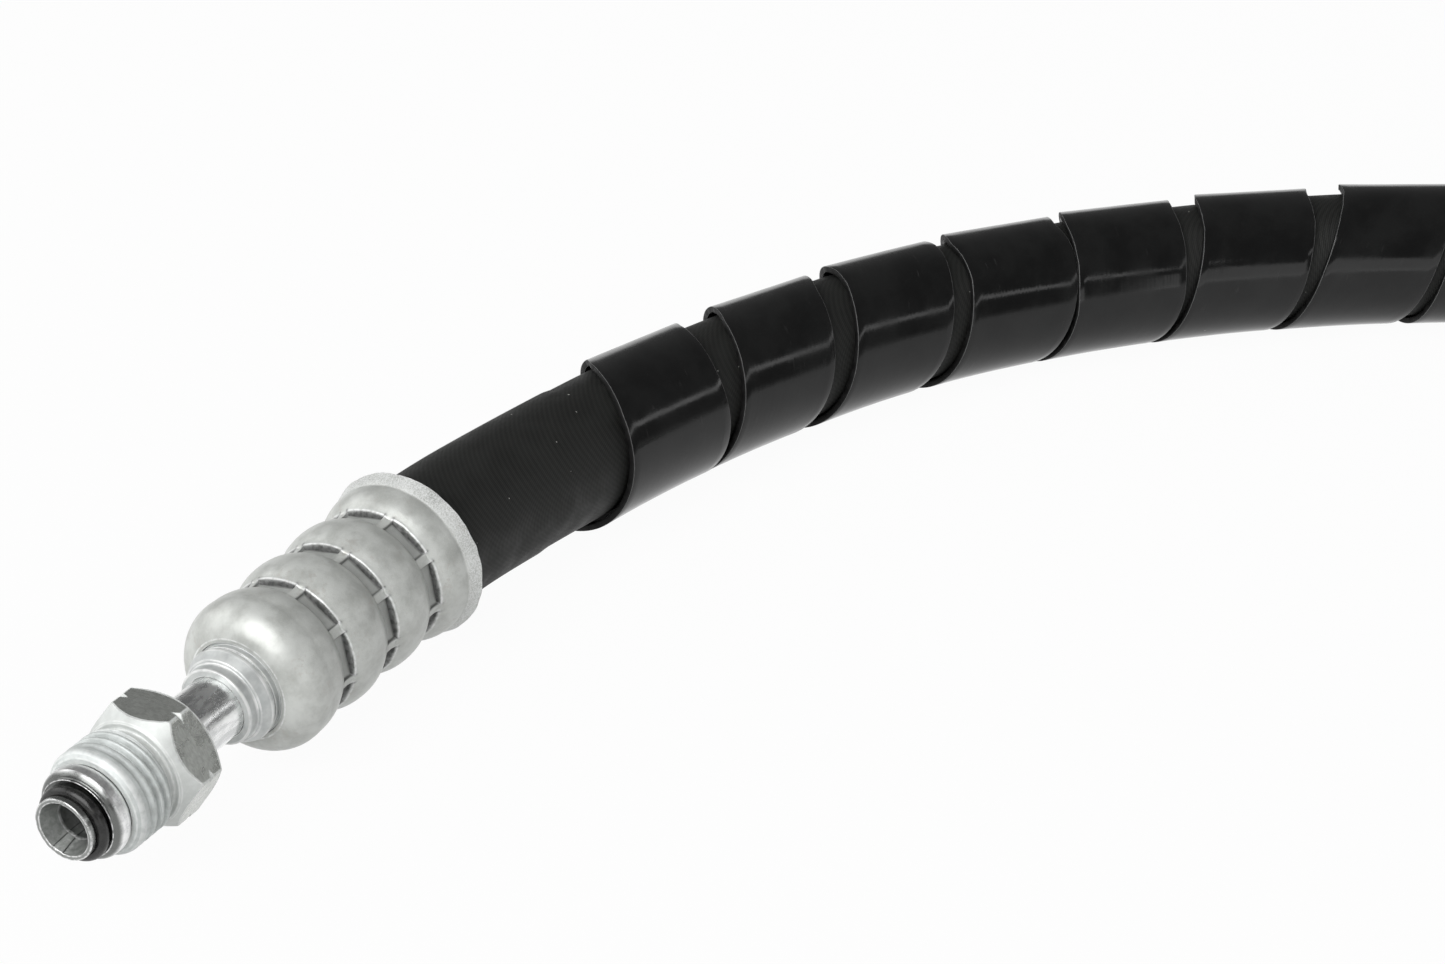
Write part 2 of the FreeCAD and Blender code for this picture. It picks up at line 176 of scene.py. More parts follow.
# %% Outlines
def arc(start, through, end, steps=14):
    """Outline points on the circle through three points, without the first, each with no rounding."""
    (ax, ay), (bx, by), (cx, cy) = start, through, end
    twice = 2 * (ax * (by - cy) + bx * (cy - ay) + cx * (ay - by))
    sa, sb, sc = ax * ax + ay * ay, bx * bx + by * by, cx * cx + cy * cy
    mx = (sa * (by - cy) + sb * (cy - ay) + sc * (ay - by)) / twice
    my = (sa * (cx - bx) + sb * (ax - cx) + sc * (bx - ax)) / twice
    first, middle, last = (math.atan2(y - my, x - mx) for x, y in (start, through, end))
    radius = math.hypot(ax - mx, ay - my)
    sweep = (last - first) % FULL_TURN
    if (middle - first) % FULL_TURN > sweep:
        sweep -= FULL_TURN
    angles = [first + sweep * k / steps for k in range(1, steps + 1)]
    return [(mx + radius * math.cos(t), my + radius * math.sin(t), 0.0) for t in angles]


def rounded(corners, steps=5):
    """Rows (s, r, edge) of a closed outline of corners (s, r, rounding), in millimetres."""
    rows = []
    for k, (s, r, rounding) in enumerate(corners):
        here = np.array((s, r))
        before = np.array(corners[k - 1][:2]) - here
        after = np.array(corners[(k + 1) % len(corners)][:2]) - here
        if rounding == 0.0:
            rows.append((s, r, 0.0))
            continue
        reach = rounding / np.maximum(np.linalg.norm([before, after], axis=1), 1e-6)
        near = np.minimum(reach, 0.4)
        far = np.minimum(1.4 * reach, 0.48)
        rows.append((*(here + before * far[0]), 0.0))
        for t in np.linspace(0.0, 1.0, steps):
            p = here + (1 - t) ** 2 * near[0] * before + t * t * near[1] * after
            rows.append((*p, 1.0))
        rows.append((*(here + after * far[1]), 0.0))
    return np.array(rows)


def refined(rows, start, end, step):
    """The same rows, with more of them between start and end along the axis on the outside."""
    fine = []
    for here, after in zip(rows, np.roll(rows, -1, axis=0)):
        fine.append(here)
        inside = start <= min(here[0], after[0]) and max(here[0], after[0]) <= end
        length = np.hypot(*(after - here)[:2])
        if inside and here[1] > 4.5 and length > step:
            count = int(math.ceil(length / step))
            fine += [here + (after - here) * j / count for j in range(1, count)]
    return np.array(fine)


print("rows of a square with rounded corners:",
      len(rounded([(0.0, 0.0, 0.1), (0.0, 1.0, 0.1), (1.0, 1.0, 0.1), (1.0, 0.0, 0.1)])))


# %% [markdown]
# ## Both ends
# The two ends hold the same fitting. It is written once, along +X from the tip, with s the
# distance from the tip, r the distance from the axis and an angle from the right-hand side
# upwards. End B is the same thing, turned and moved to the hose's far end, so both ends are made by
# one loop and can't differ.

# %% Places on an end
END_B_TIP = np.array((304.1345, -335.7927, 0.0)) * MM
END_B_TURN = math.radians(94.2892)
BODY = {"a": "nut_a", "b": "nut_b"}


def even_angles(count):
    """Angles all round, in degrees."""
    return np.arange(count) * 360.0 / count


def on_end(end, s, r, angle):
    """Grid of points in metres from s and r in millimetres and angles in degrees."""
    turn = np.radians(angle)
    s, r, turn = np.broadcast_arrays(s, r, turn)
    local = np.stack([s, -r * np.cos(turn), r * np.sin(turn)], axis=-1)
    points = local * MM
    if end == "b":
        c, n = math.cos(END_B_TURN), math.sin(END_B_TURN)
        points = points @ np.array([[c, n, 0], [-n, c, 0], [0, 0, 1]]) + END_B_TIP
    return points, local


print("from tip to tip:", round(float(np.linalg.norm(END_B_TIP)), 4), "m")

# %% [markdown]
# ## Turned pieces
# Each row of an outline becomes a ring of points. A shape rule may then move them, for what isn't
# round, such as flats and jaw prints. Every point keeps its place on the fitting as a mark, so a
# finish follows the piece when it turns. Small unevenness comes from closed waves round the axis,
# which are the same on every run.

# %% Turned pieces
def turned_piece(name, end, rows, angles, shape=None):
    """Piece turned from rows (s, r, edge). shape(s, r, edge, angle) may move them and add marks."""
    s = np.repeat(rows[:, :1], len(angles), axis=1)
    r = np.repeat(rows[:, 1:2], len(angles), axis=1)
    edge = np.repeat(rows[:, 2:3], len(angles), axis=1)
    angle = np.broadcast_to(angles, s.shape)
    marks = {}
    if shape:
        s, r, edge, marks = shape(s, r, edge, angle)
    points, local = on_end(end, s, r, angle)
    marks = dict(marks, edge=edge, turned=local)
    return skin(name + "_" + end, points, marks)


def waves(angle, seed, waves_count=9, lowest=3):
    """Smooth closed waviness round a turn, between about -1 and 1, the same on every run."""
    made = np.random.default_rng(seed)
    total = np.zeros_like(angle, dtype=float)
    for k in range(waves_count):
        phase = made.uniform(0, FULL_TURN)
        total += np.sin(np.radians(angle) * (lowest + 2 * k) + phase) / (1 + 0.25 * k)
    return total / 3.0


print("waves reach", round(float(np.abs(waves(even_angles(360), 4)).max()), 2))

# %% [markdown]
# ## The end tube
# A bare steel tube with a conical mouth. A groove for the O-ring is rolled in behind the tip, and a
# bead is formed behind that, for the nut to push on. It is a turned shape, so its outline is
# written corner by corner and turned. The tip's rim has small nicks, and a raised weld strip runs
# down the cone: a shape rule moves the points there, which keeps both in the mesh.

# %% End tube
SEAM_ANGLE, SEAM_HALF, SEAM_HEIGHT = 250.0, 12.0, 0.10
RIM_LENGTH, RIM_MIDDLE_R, NICK_DEPTH = 0.35, 4.3, 0.16


def tube_shape(s, r, edge, angle):
    """Nicks on the rim, and the weld strip in the mouth."""
    rim = np.clip(1.0 - s / RIM_LENGTH, 0.0, 1.0) * (r > 3.9)
    nick = np.clip(waves(angle, 4, 16, 5) - 0.55, 0.0, 1.0)
    bite = NICK_DEPTH * nick * rim
    r = r - bite * (r > RIM_MIDDLE_R) + bite * (r < RIM_MIDDLE_R)
    s = s + 0.05 * rim * waves(angle, 11, 12, 4)
    across = np.abs((angle - SEAM_ANGLE + 180.0) % 360.0 - 180.0)
    mouth = (s < 7.0) & (r < 4.2)
    strip = np.clip((SEAM_HALF - across) / 1.5, 0.0, 1.0) * mouth
    # The seam mark lies on the strip's two edges, for painted shade lines there.
    seam = np.exp(-((across - SEAM_HALF) / 1.3) ** 2) * mouth
    return s, r - SEAM_HEIGHT * strip, edge, {"seam": seam, "mouth": mouth * 1.0}


# Each corner: distance from the tip, distance from the axis, rounding.
TUBE_CORNERS = [
    (0.0, 4.05, 0.1), (0.0, 4.7, 0.18), (0.9, 4.7, 0.1), (0.9, 3.97, 0.1), (2.96, 3.97, 0.1),
    (2.96, 5.95, 0.12), (3.36, 5.95, 0.0),
]
TUBE_CORNERS += arc((3.36, 5.95), (3.70, 6.51), (4.26, 6.85), 8)[:-1]
TUBE_CORNERS += [
    (4.26, 6.85, 0.25), (5.76, 6.85, 0.55), (7.86, 4.75, 0.4), (40.8, 4.75, 0.15), (40.8, 3.7, 0.1),
    (8.66, 3.7, 0.2), (7.96, 3.0, 0.2), (2.96, 3.0, 0.2),
]
seam_sides = SEAM_ANGLE + np.array([-14, -13, -12, -11, 11, 12, 13, 14])
tube_angles = np.unique(np.concatenate([even_angles(180), seam_sides]))
tube_rows = rounded(TUBE_CORNERS)
end_tubes = {end: turned_piece("steel_tube", end, tube_rows, tube_angles, tube_shape) for end in "ab"}

# %% [markdown]
# ## The O-ring
# A rubber ring in the rolled groove, which seals the port. A torus would do, but the same helper
# turns a circle and gives it the marks that its material reads. In the photo it hangs to one side.

# %% O-ring
RING_S, RING_R_MIDDLE, RING_THICK_R = 2.04, 4.96, 0.86


def sagging_ring(s, r, edge, angle):
    """Lets the ring hang a little towards one side of its groove."""
    return s, r - 0.17 + 0.20 * np.cos(np.radians(angle + 30.0)), edge, {}


ring_turns = np.linspace(0.0, FULL_TURN, 33)[:-1]
o_ring_rows = np.stack([RING_S + RING_THICK_R * np.sin(ring_turns),
                        RING_R_MIDDLE + RING_THICK_R * np.cos(ring_turns), 0.0 * ring_turns], axis=-1)
ring_angles = even_angles(160)
o_rings = {end: turned_piece("sealing_ring", end, o_ring_rows, ring_angles, sagging_ring) for end in "ab"}

# %% [markdown]
# ## The hexagon and the thread
# Two rules shape the nut. The hexagon's distance from the axis follows from the angle alone. The
# thread is a groove that follows a helix and fades in over the smooth lead, as one cut by a die
# does. A rule gives its depth anywhere, so no separate screw shape has to be joined on.

# %% Hexagon and thread
NUT_RING, HEX_FRONT, HEX_REAR, NUT_BACK = 15.36, 17.76, 21.86, 22.96
RING_R, FLAT_R, CORNER_R, BACK_R = 8.0, 8.5, 9.815, 8.45
THREAD_PITCH, GROOVE_S, GROOVE_DEPTH = 1.5, 9.36, 0.78
GROOVE_HALF, GROOVE_SLOPE = 0.64, 0.55
FADE_START, FADE_LENGTH = 8.1, 1.9
NOTCH_S, NOTCH_R = 19.75, 9.25


def hexagon_r(angle):
    """Distance from the axis to the hexagon, and how near a corner is, from 0 to 1."""
    across = angle % 60.0 - 30.0
    corner = np.clip((np.abs(across) - 28.2) / 1.8, 0.0, 1.0)
    return FLAT_R / np.cos(np.radians(across)) - 0.10 * corner ** 2, corner


def thread_depth(s, angle):
    """Depth of the thread's groove, which starts shallow."""
    along = s - GROOVE_S + THREAD_PITCH * (angle + 90.0) / 360.0
    offset = (along + THREAD_PITCH / 2) % THREAD_PITCH - THREAD_PITCH / 2
    centre = s - offset
    start = np.clip((centre - FADE_START) / FADE_LENGTH, 0.0, 1.0)
    side = np.clip((GROOVE_HALF - np.abs(offset)) / GROOVE_SLOPE, 0.0, 1.0)
    return GROOVE_DEPTH * start * start * (3 - 2 * start) * side * side * (3 - 2 * side)


hexagon, _ = hexagon_r(even_angles(360))
print("hexagon from", FLAT_R, "to", round(float(hexagon.max()), 3), "mm from the axis")

# %% [markdown]
# ## The tube nut
# A hexagon nut with an outside thread. Its cones cut the six flats in curved edges. A boolean cut
# could make them, but here the grid's rows are slid along the axis to meet those curves, so the
# edges stay sharp and the faces stay even. A small notch is turned into the six corners.

# %% Tube nut
def nut_shape(s, r, edge, angle):
    """Slides the hexagon's rows to the curves where its cones meet the flats, and cuts the thread."""
    hexagon, corner = hexagon_r(angle)
    front = NUT_RING + (HEX_FRONT - NUT_RING) * (hexagon - RING_R) / (CORNER_R - RING_R)
    rear = HEX_REAR + (NUT_BACK - HEX_REAR) * (CORNER_R - hexagon) / (CORNER_R - BACK_R)
    outside = r > 7.0
    places = [(NUT_RING, HEX_FRONT, NUT_RING, front, RING_R, CORNER_R, RING_R, hexagon),
              (HEX_FRONT, HEX_REAR, front, rear, CORNER_R, CORNER_R, hexagon, hexagon),
              (HEX_REAR, NUT_BACK, rear, NUT_BACK, CORNER_R, BACK_R, hexagon, BACK_R)]
    new_s, new_r, flat = s.copy(), r.copy(), np.zeros_like(s)
    for low, high, to_low, to_high, r_low, r_high, h_low, h_high in places:
        share = (s - low) / (high - low)
        inside = outside & (share >= -1e-9) & (share <= 1.0 + 1e-9)
        drop = r_low + (r_high - r_low) * share - r
        new_s = np.where(inside, to_low + (to_high - to_low) * share, new_s)
        new_r = np.where(inside, h_low + (h_high - h_low) * share - drop, new_r)
        if low == HEX_FRONT:
            flat = np.where(inside & (edge < 0.5), 1.0 - corner, flat)
            edge = np.where(inside, np.maximum(edge, 0.6 * corner), edge)
    threaded = outside & (s < 13.9)
    new_r = np.where(threaded, np.minimum(new_r, 8.0 - thread_depth(s, angle)), new_r)
    thread = np.where(outside & (s < 14.5), 1.0, 0.0)
    notch_r = NOTCH_R + 1.1 * np.abs(new_s - NOTCH_S)
    notch = outside & (new_r > notch_r)
    flat = np.where(notch, 0.0, flat)
    return new_s, np.where(notch, notch_r, new_r), edge, {"flat": flat, "thread": thread}


NUT_CORNERS = [
    (6.36, 6.39, 0.1), (6.36, 7.25, 0.12), (7.11, 8.0, 0.45), (13.41, 8.0, 0.2), (13.96, 6.9, 0.3),
    (15.06, 6.9, 0.25), (15.06, 7.7, 0.1), (NUT_RING, RING_R, 0.1), (HEX_FRONT, CORNER_R, 0.16),
    (HEX_REAR, CORNER_R, 0.16), (NUT_BACK, BACK_R, 0.12), (22.96, 5.23, 0.1), (22.56, 4.83, 0.2),
    (7.92, 4.83, 0.1),
]
nut_rows = refined(refined(rounded(NUT_CORNERS), 6.9, 13.5, 0.1), 15.5, 22.9, 0.09)
beside_corner = np.array([-1.2, -0.8, -0.4, 0.4, 0.8, 1.2])
near_corners = (np.arange(6)[:, None] * 60.0 + beside_corner).ravel() % 360.0
nut_angles = np.unique(np.round(np.concatenate([even_angles(300), near_corners]), 6))
nuts = {end: turned_piece("hex_nut", end, nut_rows, nut_angles, nut_shape) for end in "ab"}

# %% [markdown]
# ## The hose stem
# The stem holds the tube in its socket and the ferrule on its shoulder, and its grooved insert
# goes inside the hose. Only the collar and the stepped sleeve show, but the whole stem is made.
# A loop writes the insert's grooves into the outline.

# %% Hose stem
GROOVES, FIRST_GROOVE, GROOVE_STEP = 7, 46.55, 4.6
STEM_CORNERS = [
    (33.7, 4.78, 0.08), (33.7, 5.95, 0.28), (35.5, 5.95, 0.3), (35.5, 6.45, 0.16), (37.15, 7.3, 0.2),
    (37.6, 7.3, 0.15), (37.6, 6.9, 0.1), (38.05, 6.9, 0.1), (38.05, 7.14, 0.1), (38.35, 7.14, 0.1),
    (38.35, 6.95, 0.08), (39.2, 6.95, 0.05), (39.2, 7.3, 0.1), (41.05, 7.3, 0.05),
    (41.05, 8.0, 0.1), (42.05, 8.0, 0.1), (42.05, 4.7, 0.1),
]
for barb in range(GROOVES):
    groove = FIRST_GROOVE + GROOVE_STEP * barb
    STEM_CORNERS += [(groove, 4.7, 0.05), (groove, 4.25, 0.05), (groove + 2.6, 4.7, 0.1)]
STEM_CORNERS += [
    (78.45, 4.7, 0.2), (79.05, 4.1, 0.1), (79.05, 3.25, 0.1), (40.9, 3.25, 0.05), (40.9, 4.78, 0.05),
]
stem_rows = rounded(STEM_CORNERS, 4)
stems = {end: turned_piece("stem", end, stem_rows, even_angles(144)) for end in "ab"}

# %% [markdown]
# ## Round a jaw print
# Where a jaw presses steel in, the steel has to go somewhere. Short bridges stay up between two
# prints, metal is pushed up behind them, and their corners end in small horns. The walls of a
# print see little light, which a mark for the finish says. Bumps with a bell-shaped rule do all of
# this without a sculpted mesh.

# %% Round a jaw print
CRIMPS = (50.6, 61.5, 72.4)
JAWS, FIRST_JAW, PRINT_R = 8, 11.0, 9.50
PRINT_HALF = 18.2
VALLEY_R, BULGE_R = 10.32, 11.78


def step_up(x, start, end):
    """Smooth step from 0 at start to 1 at end."""
    t = np.clip((x - start) / (end - start), 0.0, 1.0)
    return t * t * (3 - 2 * t)


def raised_metal(d, off, half, across):
    """How high metal stands round a print, and how worn it is. d is along the axis, off is round it."""
    side = step_up(half + 1.2 - np.abs(off), -1.0, 1.0)
    rear = np.exp(-((d - 1.42) / 0.16) ** 2) * side
    horn = np.exp(-((d - 1.15) / 0.35) ** 2 - ((np.abs(off) - half - 1.0) / 1.1) ** 2)
    bridge = np.exp(-(d / 0.95) ** 2) * (1 - across)
    return 0.09 * rear + 0.16 * horn + 0.10 * bridge, np.maximum(rear, horn)


def dark_walls(d, off, half):
    """How much painted shade the walls of a print get: its front and rear, its two sides and its rear
    corners.
    """
    inside = step_up(half + 0.6 - np.abs(off), -0.6, 0.6)
    rim = np.maximum(np.exp(-((d - 1.20) / 0.13) ** 2), 0.8 * np.exp(-((d + 1.20) / 0.12) ** 2)) * inside
    ends = np.exp(-((np.abs(off) - half) / 0.55) ** 2) * step_up(1.35 - np.abs(d), 0.0, 0.15)
    tip = np.exp(-((d - 1.40) / 0.26) ** 2 - ((np.abs(off) - half - 0.2) / 0.9) ** 2)
    return np.maximum.reduce([rim, 0.75 * ends, tip])


print("rings of prints at", CRIMPS, "mm, prints:", JAWS * len(CRIMPS))

# %% [markdown]
# ## The jaw prints
# Eight jaws press the ferrule on the hose at three places. Each print is a flat, so its depth
# follows from the distance to the axis: one rule makes all twenty-four. It could be a row of
# boolean cuts, but then the burrs round them wouldn't follow. The rule also roughens the cut lip,
# and marks the prints, their walls and the lip for the finish.

# %% Jaw prints
def ferrule_shape(s, r, edge, angle):
    """Presses the jaw prints in, raises the bridges and burrs, and roughens the cut lip."""
    outside = r > 9.0
    off = (angle - FIRST_JAW + 180.0 / JAWS) % (360.0 / JAWS) - 180.0 / JAWS
    pocket, burr, wall = np.zeros_like(s), np.zeros_like(s), np.zeros_like(s)
    pressed = r.copy()
    for k, crimp in enumerate(CRIMPS):
        d = s - crimp - 0.06 * waves(angle, 30 + k, 8, 6)
        half = PRINT_HALF + 0.5 * waves(angle, 20 + k, 5, 3)
        across = step_up(half - np.abs(off), -0.5, 0.5)
        here = step_up(d, -1.32, -1.15) * step_up(-d, -1.26, -1.18) * across
        flat = PRINT_R / np.cos(np.radians(off)) + 0.05 * d
        pressed = np.where(here > 0, np.minimum(pressed, r + (flat - r) * here), pressed)
        height, worn = raised_metal(d, off, half, across)
        pressed = pressed + np.where(outside, height, 0.0)
        pocket = np.maximum(pocket, here)
        burr = np.maximum(burr, worn)
        wall = np.maximum(wall, dark_walls(d, off, half))
    lip = step_up(s, 80.4, 81.0) * outside
    s = s + lip * 0.10 * waves(angle, 7, 24, 9)
    pressed = pressed + lip * 0.06 * waves(angle, 9, 24, 11)
    cut = step_up(s, 78.5, 78.9) * outside
    # The finish paints shade by the pocket and wall marks, and roughens the lip by the cut mark.
    marks = {"pocket": pocket, "cut": cut, "wall": wall * outside}
    return s, np.where(outside, pressed, r), np.maximum(edge, burr * outside), marks


print("a print's flat is", PRINT_R, "mm from the axis, a valley", VALLEY_R, "mm")

# %% [markdown]
# ## The crimped ferrule
# A steel sleeve whose metal bulges between the rings of prints, with a flared lip. The outside is
# three bulges from one formula between flat valleys, and arcs at both ends. Rows are set close
# together at each print, and columns at each print's sides, so that their edges come out crisp.

# %% Ferrule
def bulge(x):
    """Radius of a bulge, from its valley at x = -1 to its valley at x = 1."""
    return VALLEY_R + (BULGE_R - VALLEY_R) * (1.0 - abs(x) ** 2.3) ** 0.8


ferrule_outside = [(39.0, 8.0, 0.0)] + arc((39.0, 8.0), (40.8, 10.7), (45.15, 11.75), 22)
ferrule_outside += [(45.15 + 4.35 * x, bulge(x), 0.0) for x in np.linspace(0.08, 1.0, 14)]
ferrule_outside += [(51.8, VALLEY_R, 0.0)]
for start in (51.8, 62.7):
    ferrule_outside += [(start + 4.25 * (1.0 + x), bulge(x), 0.0) for x in np.linspace(-0.97, 1.0, 28)]
    ferrule_outside += [(start + 10.9, VALLEY_R, 0.0)]
ferrule_outside += arc((73.6, VALLEY_R), (75.4, 11.75), (78.6, 12.3), 18)
outline = np.array(ferrule_outside)
print_rows = np.array([-1.6, -1.4, -1.3, -1.2, -1.1, -0.8, -0.3, 0.3, 0.8,
                       1.1, 1.17, 1.23, 1.29, 1.36, 1.44, 1.55, 1.75])
ferrule_s = np.unique(np.concatenate([outline[:, 0]] + [crimp + print_rows for crimp in CRIMPS]))
ferrule_r = np.interp(ferrule_s, outline[:, 0], outline[:, 1])
for turn_in in (49.4, 51.8, 60.3, 62.7, 71.2, 73.6):
    near = np.abs(ferrule_s - turn_in) < 1.0
    ferrule_r[near] += 0.12 * (1 - ((ferrule_s[near] - turn_in) / 1.0) ** 2) ** 2
ferrule_corners = [(39.0, 7.35, 0.08), (39.0, 7.9, 0.1)]
ferrule_corners += [(s, r, 0.0) for s, r in zip(ferrule_s[1:], ferrule_r[1:])]
ferrule_corners += [
    (78.75, 12.42, 0.0), (79.6, 12.72, 0.0), (80.4, 13.0, 0.0), (81.0, 13.2, 0.12), (81.0, 11.55, 0.2),
    (78.6, 10.6, 0.3), (77.1, 10.6, 0.2), (73.6, 8.6, 0.3), (71.2, 8.6, 0.3), (67.0, 10.3, 0.8),
    (62.7, 8.6, 0.3), (60.3, 8.6, 0.3), (56.0, 10.3, 0.8), (51.8, 8.6, 0.3), (49.4, 8.6, 0.3),
    (45.15, 10.4, 0.8), (41.0, 10.0, 0.3), (41.0, 7.35, 0.1),
]
ferrule_rows = rounded(ferrule_corners)
side_columns = np.array([[-18.9, -18.5, -17.9, -17.5, 17.5, 17.9, 18.5, 18.9]])
print_sides = FIRST_JAW + np.arange(JAWS)[:, None] * 360.0 / JAWS + side_columns
ferrule_angles = np.unique(np.round(np.concatenate([even_angles(180), print_sides.ravel() % 360.0]), 6))
ferrules = {}
for end in "ab":
    ferrules[end] = turned_piece("crimped_ferrule", end, ferrule_rows, ferrule_angles, ferrule_shape)

# %% [markdown]
# ## Tubes along the line
# Each layer of the hose is one closed tube along the hose's line. A curve with a bevel would be
# quicker, but it has one radius all the way and no bore. Rings of points are set square to the
# line instead, out along the outside and back through the bore, and each point keeps its place
# along and round the hose as a mark.

# %% Tubes along the line
def directions(line):
    """Length so far, and the directions along, to the right and up, at each point of a line."""
    steps = np.linalg.norm(np.diff(line, axis=0), axis=1)
    length = np.concatenate([[0.0], np.cumsum(steps)])
    along = np.gradient(line, length, axis=0)
    along /= np.linalg.norm(along, axis=1, keepdims=True)
    side = np.cross(along, (0.0, 0.0, 1.0))
    side /= np.linalg.norm(side, axis=1, keepdims=True)
    return length, along, side, np.cross(side, along)


def hose_tube(name, line, inner_r, outer, spacing, columns):
    """Closed tube along a line. outer is a radius in millimetres, or a rule (length, angle) for it."""
    length, _, side, up = directions(line)
    places = np.linspace(0.0, length[-1], int(length[-1] / spacing) + 1)
    where = np.concatenate([places, np.linspace(length[-1], 0.0, len(places) // 3)])
    centres, sides, ups = (
        np.stack([np.interp(where, length, values[:, k]) for k in range(3)], axis=-1)[:, None]
        for values in (line, side, up))
    lengths = np.broadcast_to(where[:, None] / MM, (len(where), columns))
    angles = np.broadcast_to(even_angles(columns), lengths.shape)
    radius = outer(lengths, angles) if callable(outer) else np.full(lengths.shape, outer)
    radius = np.where((np.arange(len(where)) >= len(places))[:, None], inner_r, radius)
    c, n = np.cos(np.radians(angles)), np.sin(np.radians(angles))
    grid = centres + (sides * c[..., None] + ups * n[..., None]) * radius[..., None] * MM
    wound = np.stack([lengths, radius * c, radius * n], axis=-1)
    return skin(name, grid, {"wound": wound})


_, along, _, _ = directions(hose_line)
print("the line turns by", round(math.degrees(math.acos(along[0] @ along[-1])), 1), "degrees")

# %% [markdown]
# ## The hose
# From its bore outwards the hose has a rubber liner, a steel wire braid, a thin rubber layer, a
# second braid and a rubber cover. The cover was wrapped before it was cured, so a diagonal step is
# left near the ferrule, and a rule for its radius makes it. The inner layers never show, but a
# hose that is cut open, or seen from its bore, should have them.

# %% Hose layers
COVER_BORE_R, COVER_R, WRAP_STEP, STEP_HALF = 8.13, 10.39, 0.20, 0.35
COVER_SPACING, LAYER_SPACING = 1.6 * MM, 4 * MM
# How deep the hose goes into a fitting, in millimetres from the tip.
HOSE_START = 42.2
# Each layer inside: name, inner and outer radius in millimetres, columns.
LAYERS = {
    "inner_tube": ("rubber_liner", 4.75, 6.35, 48),
    "inner_braid": ("wire_braid_inner", 6.37, 6.97, 56),
    "friction_layer": ("rubber_between_braids", 6.99, 7.49, 56),
    "outer_braid": ("wire_braid_outer", 7.51, 8.11, 56),
}


def cover_shape(length, angle):
    """Radius of the cover, with the diagonal step of its wrapping near end A."""
    turn = (angle + 140.0) % 360.0 - 140.0
    step = 45.5 + (turn - 127.0) * 16.0 / 175.0
    return COVER_R + WRAP_STEP * (1.0 - step_up(length, step - STEP_HALF, step + STEP_HALF))


lead_in, _ = on_end("a", HOSE_START, 0.0, 0.0)
lead_out, _ = on_end("b", HOSE_START, 0.0, 0.0)
whole_line = np.concatenate([lead_in.reshape(1, 3), hose_line, lead_out.reshape(1, 3)])
hose_cover = hose_tube("hose_cover", hose_line, COVER_BORE_R, cover_shape, COVER_SPACING, 96)
layers = {}
for node, (name, inner_r, outer_r, columns) in LAYERS.items():
    layers[node] = hose_tube(name, whole_line, inner_r, outer_r, LAYER_SPACING, columns)

# %% [markdown]
# ## The cover under the ferrules
# The ferrule's inner ribs press the cover thin at the three rings of prints. The two pressed ends
# are turned pieces like the fittings. They ride with the hose, and no single solid stands for them.

# %% Cover under the ferrules
COVER_END = [
    (HOSE_START, COVER_BORE_R, 0.0), (HOSE_START, 10.0, 0.3), (45.15, 10.3, 0.5), (49.4, 8.55, 0.2),
    (51.8, 8.55, 0.2), (56.05, 10.3, 0.8), (60.3, 8.55, 0.2), (62.7, 8.55, 0.2), (67.0, 10.3, 0.8),
    (71.2, 8.55, 0.2), (73.2, 8.55, 0.1), (73.95, 9.0, 0.1), (73.95, COVER_BORE_R, 0.0),
]
cover_rows = rounded(COVER_END)
cover_ends = {end: turned_piece("cover_under_ferrule", end, cover_rows, even_angles(96)) for end in "ab"}

# %% [markdown]
# ## Short ways to make nodes
# The guard, the finishes and the world are node trees. Each node could be added, set and linked in
# lines of its own, but that hides the rule among the wiring. These helpers add a node with its
# settings and inputs at once, and do arithmetic on sockets or plain numbers.

# %% Node helpers
def node_maker(tree):
    """A short way to add a node with its settings and inputs. An input is a value or a socket."""
    def add(kind, inputs=None, **settings):
        node = tree.nodes.new(kind)
        for setting, value in settings.items():
            setattr(node, setting, value)
        for name, value in (inputs or {}).items():
            if isinstance(value, bpy.types.NodeSocket):
                tree.links.new(value, node.inputs[name])
            else:
                node.inputs[name].default_value = value
        return node
    return add


def calculator(add):
    """Arithmetic on sockets or numbers: any operation by its name, a sum and a product."""
    def work(operation, *values):
        return add("ShaderNodeMath", dict(enumerate(values)), operation=operation).outputs[0]

    def plus(first, second):
        return work("ADD", first, second)

    def times(first, second):
        return work("MULTIPLY", first, second)

    return work, plus, times


print("node helpers:", node_maker.__name__, calculator.__name__)

# %% [markdown]
# ## A place on the hose
# A strip that lies on the hose is best written as a length along the line, an angle round it and a
# radius. This node group turns those three numbers into a position. It takes the same directions
# to the right and up as the layers of the hose, so the strip and the cover fit together.

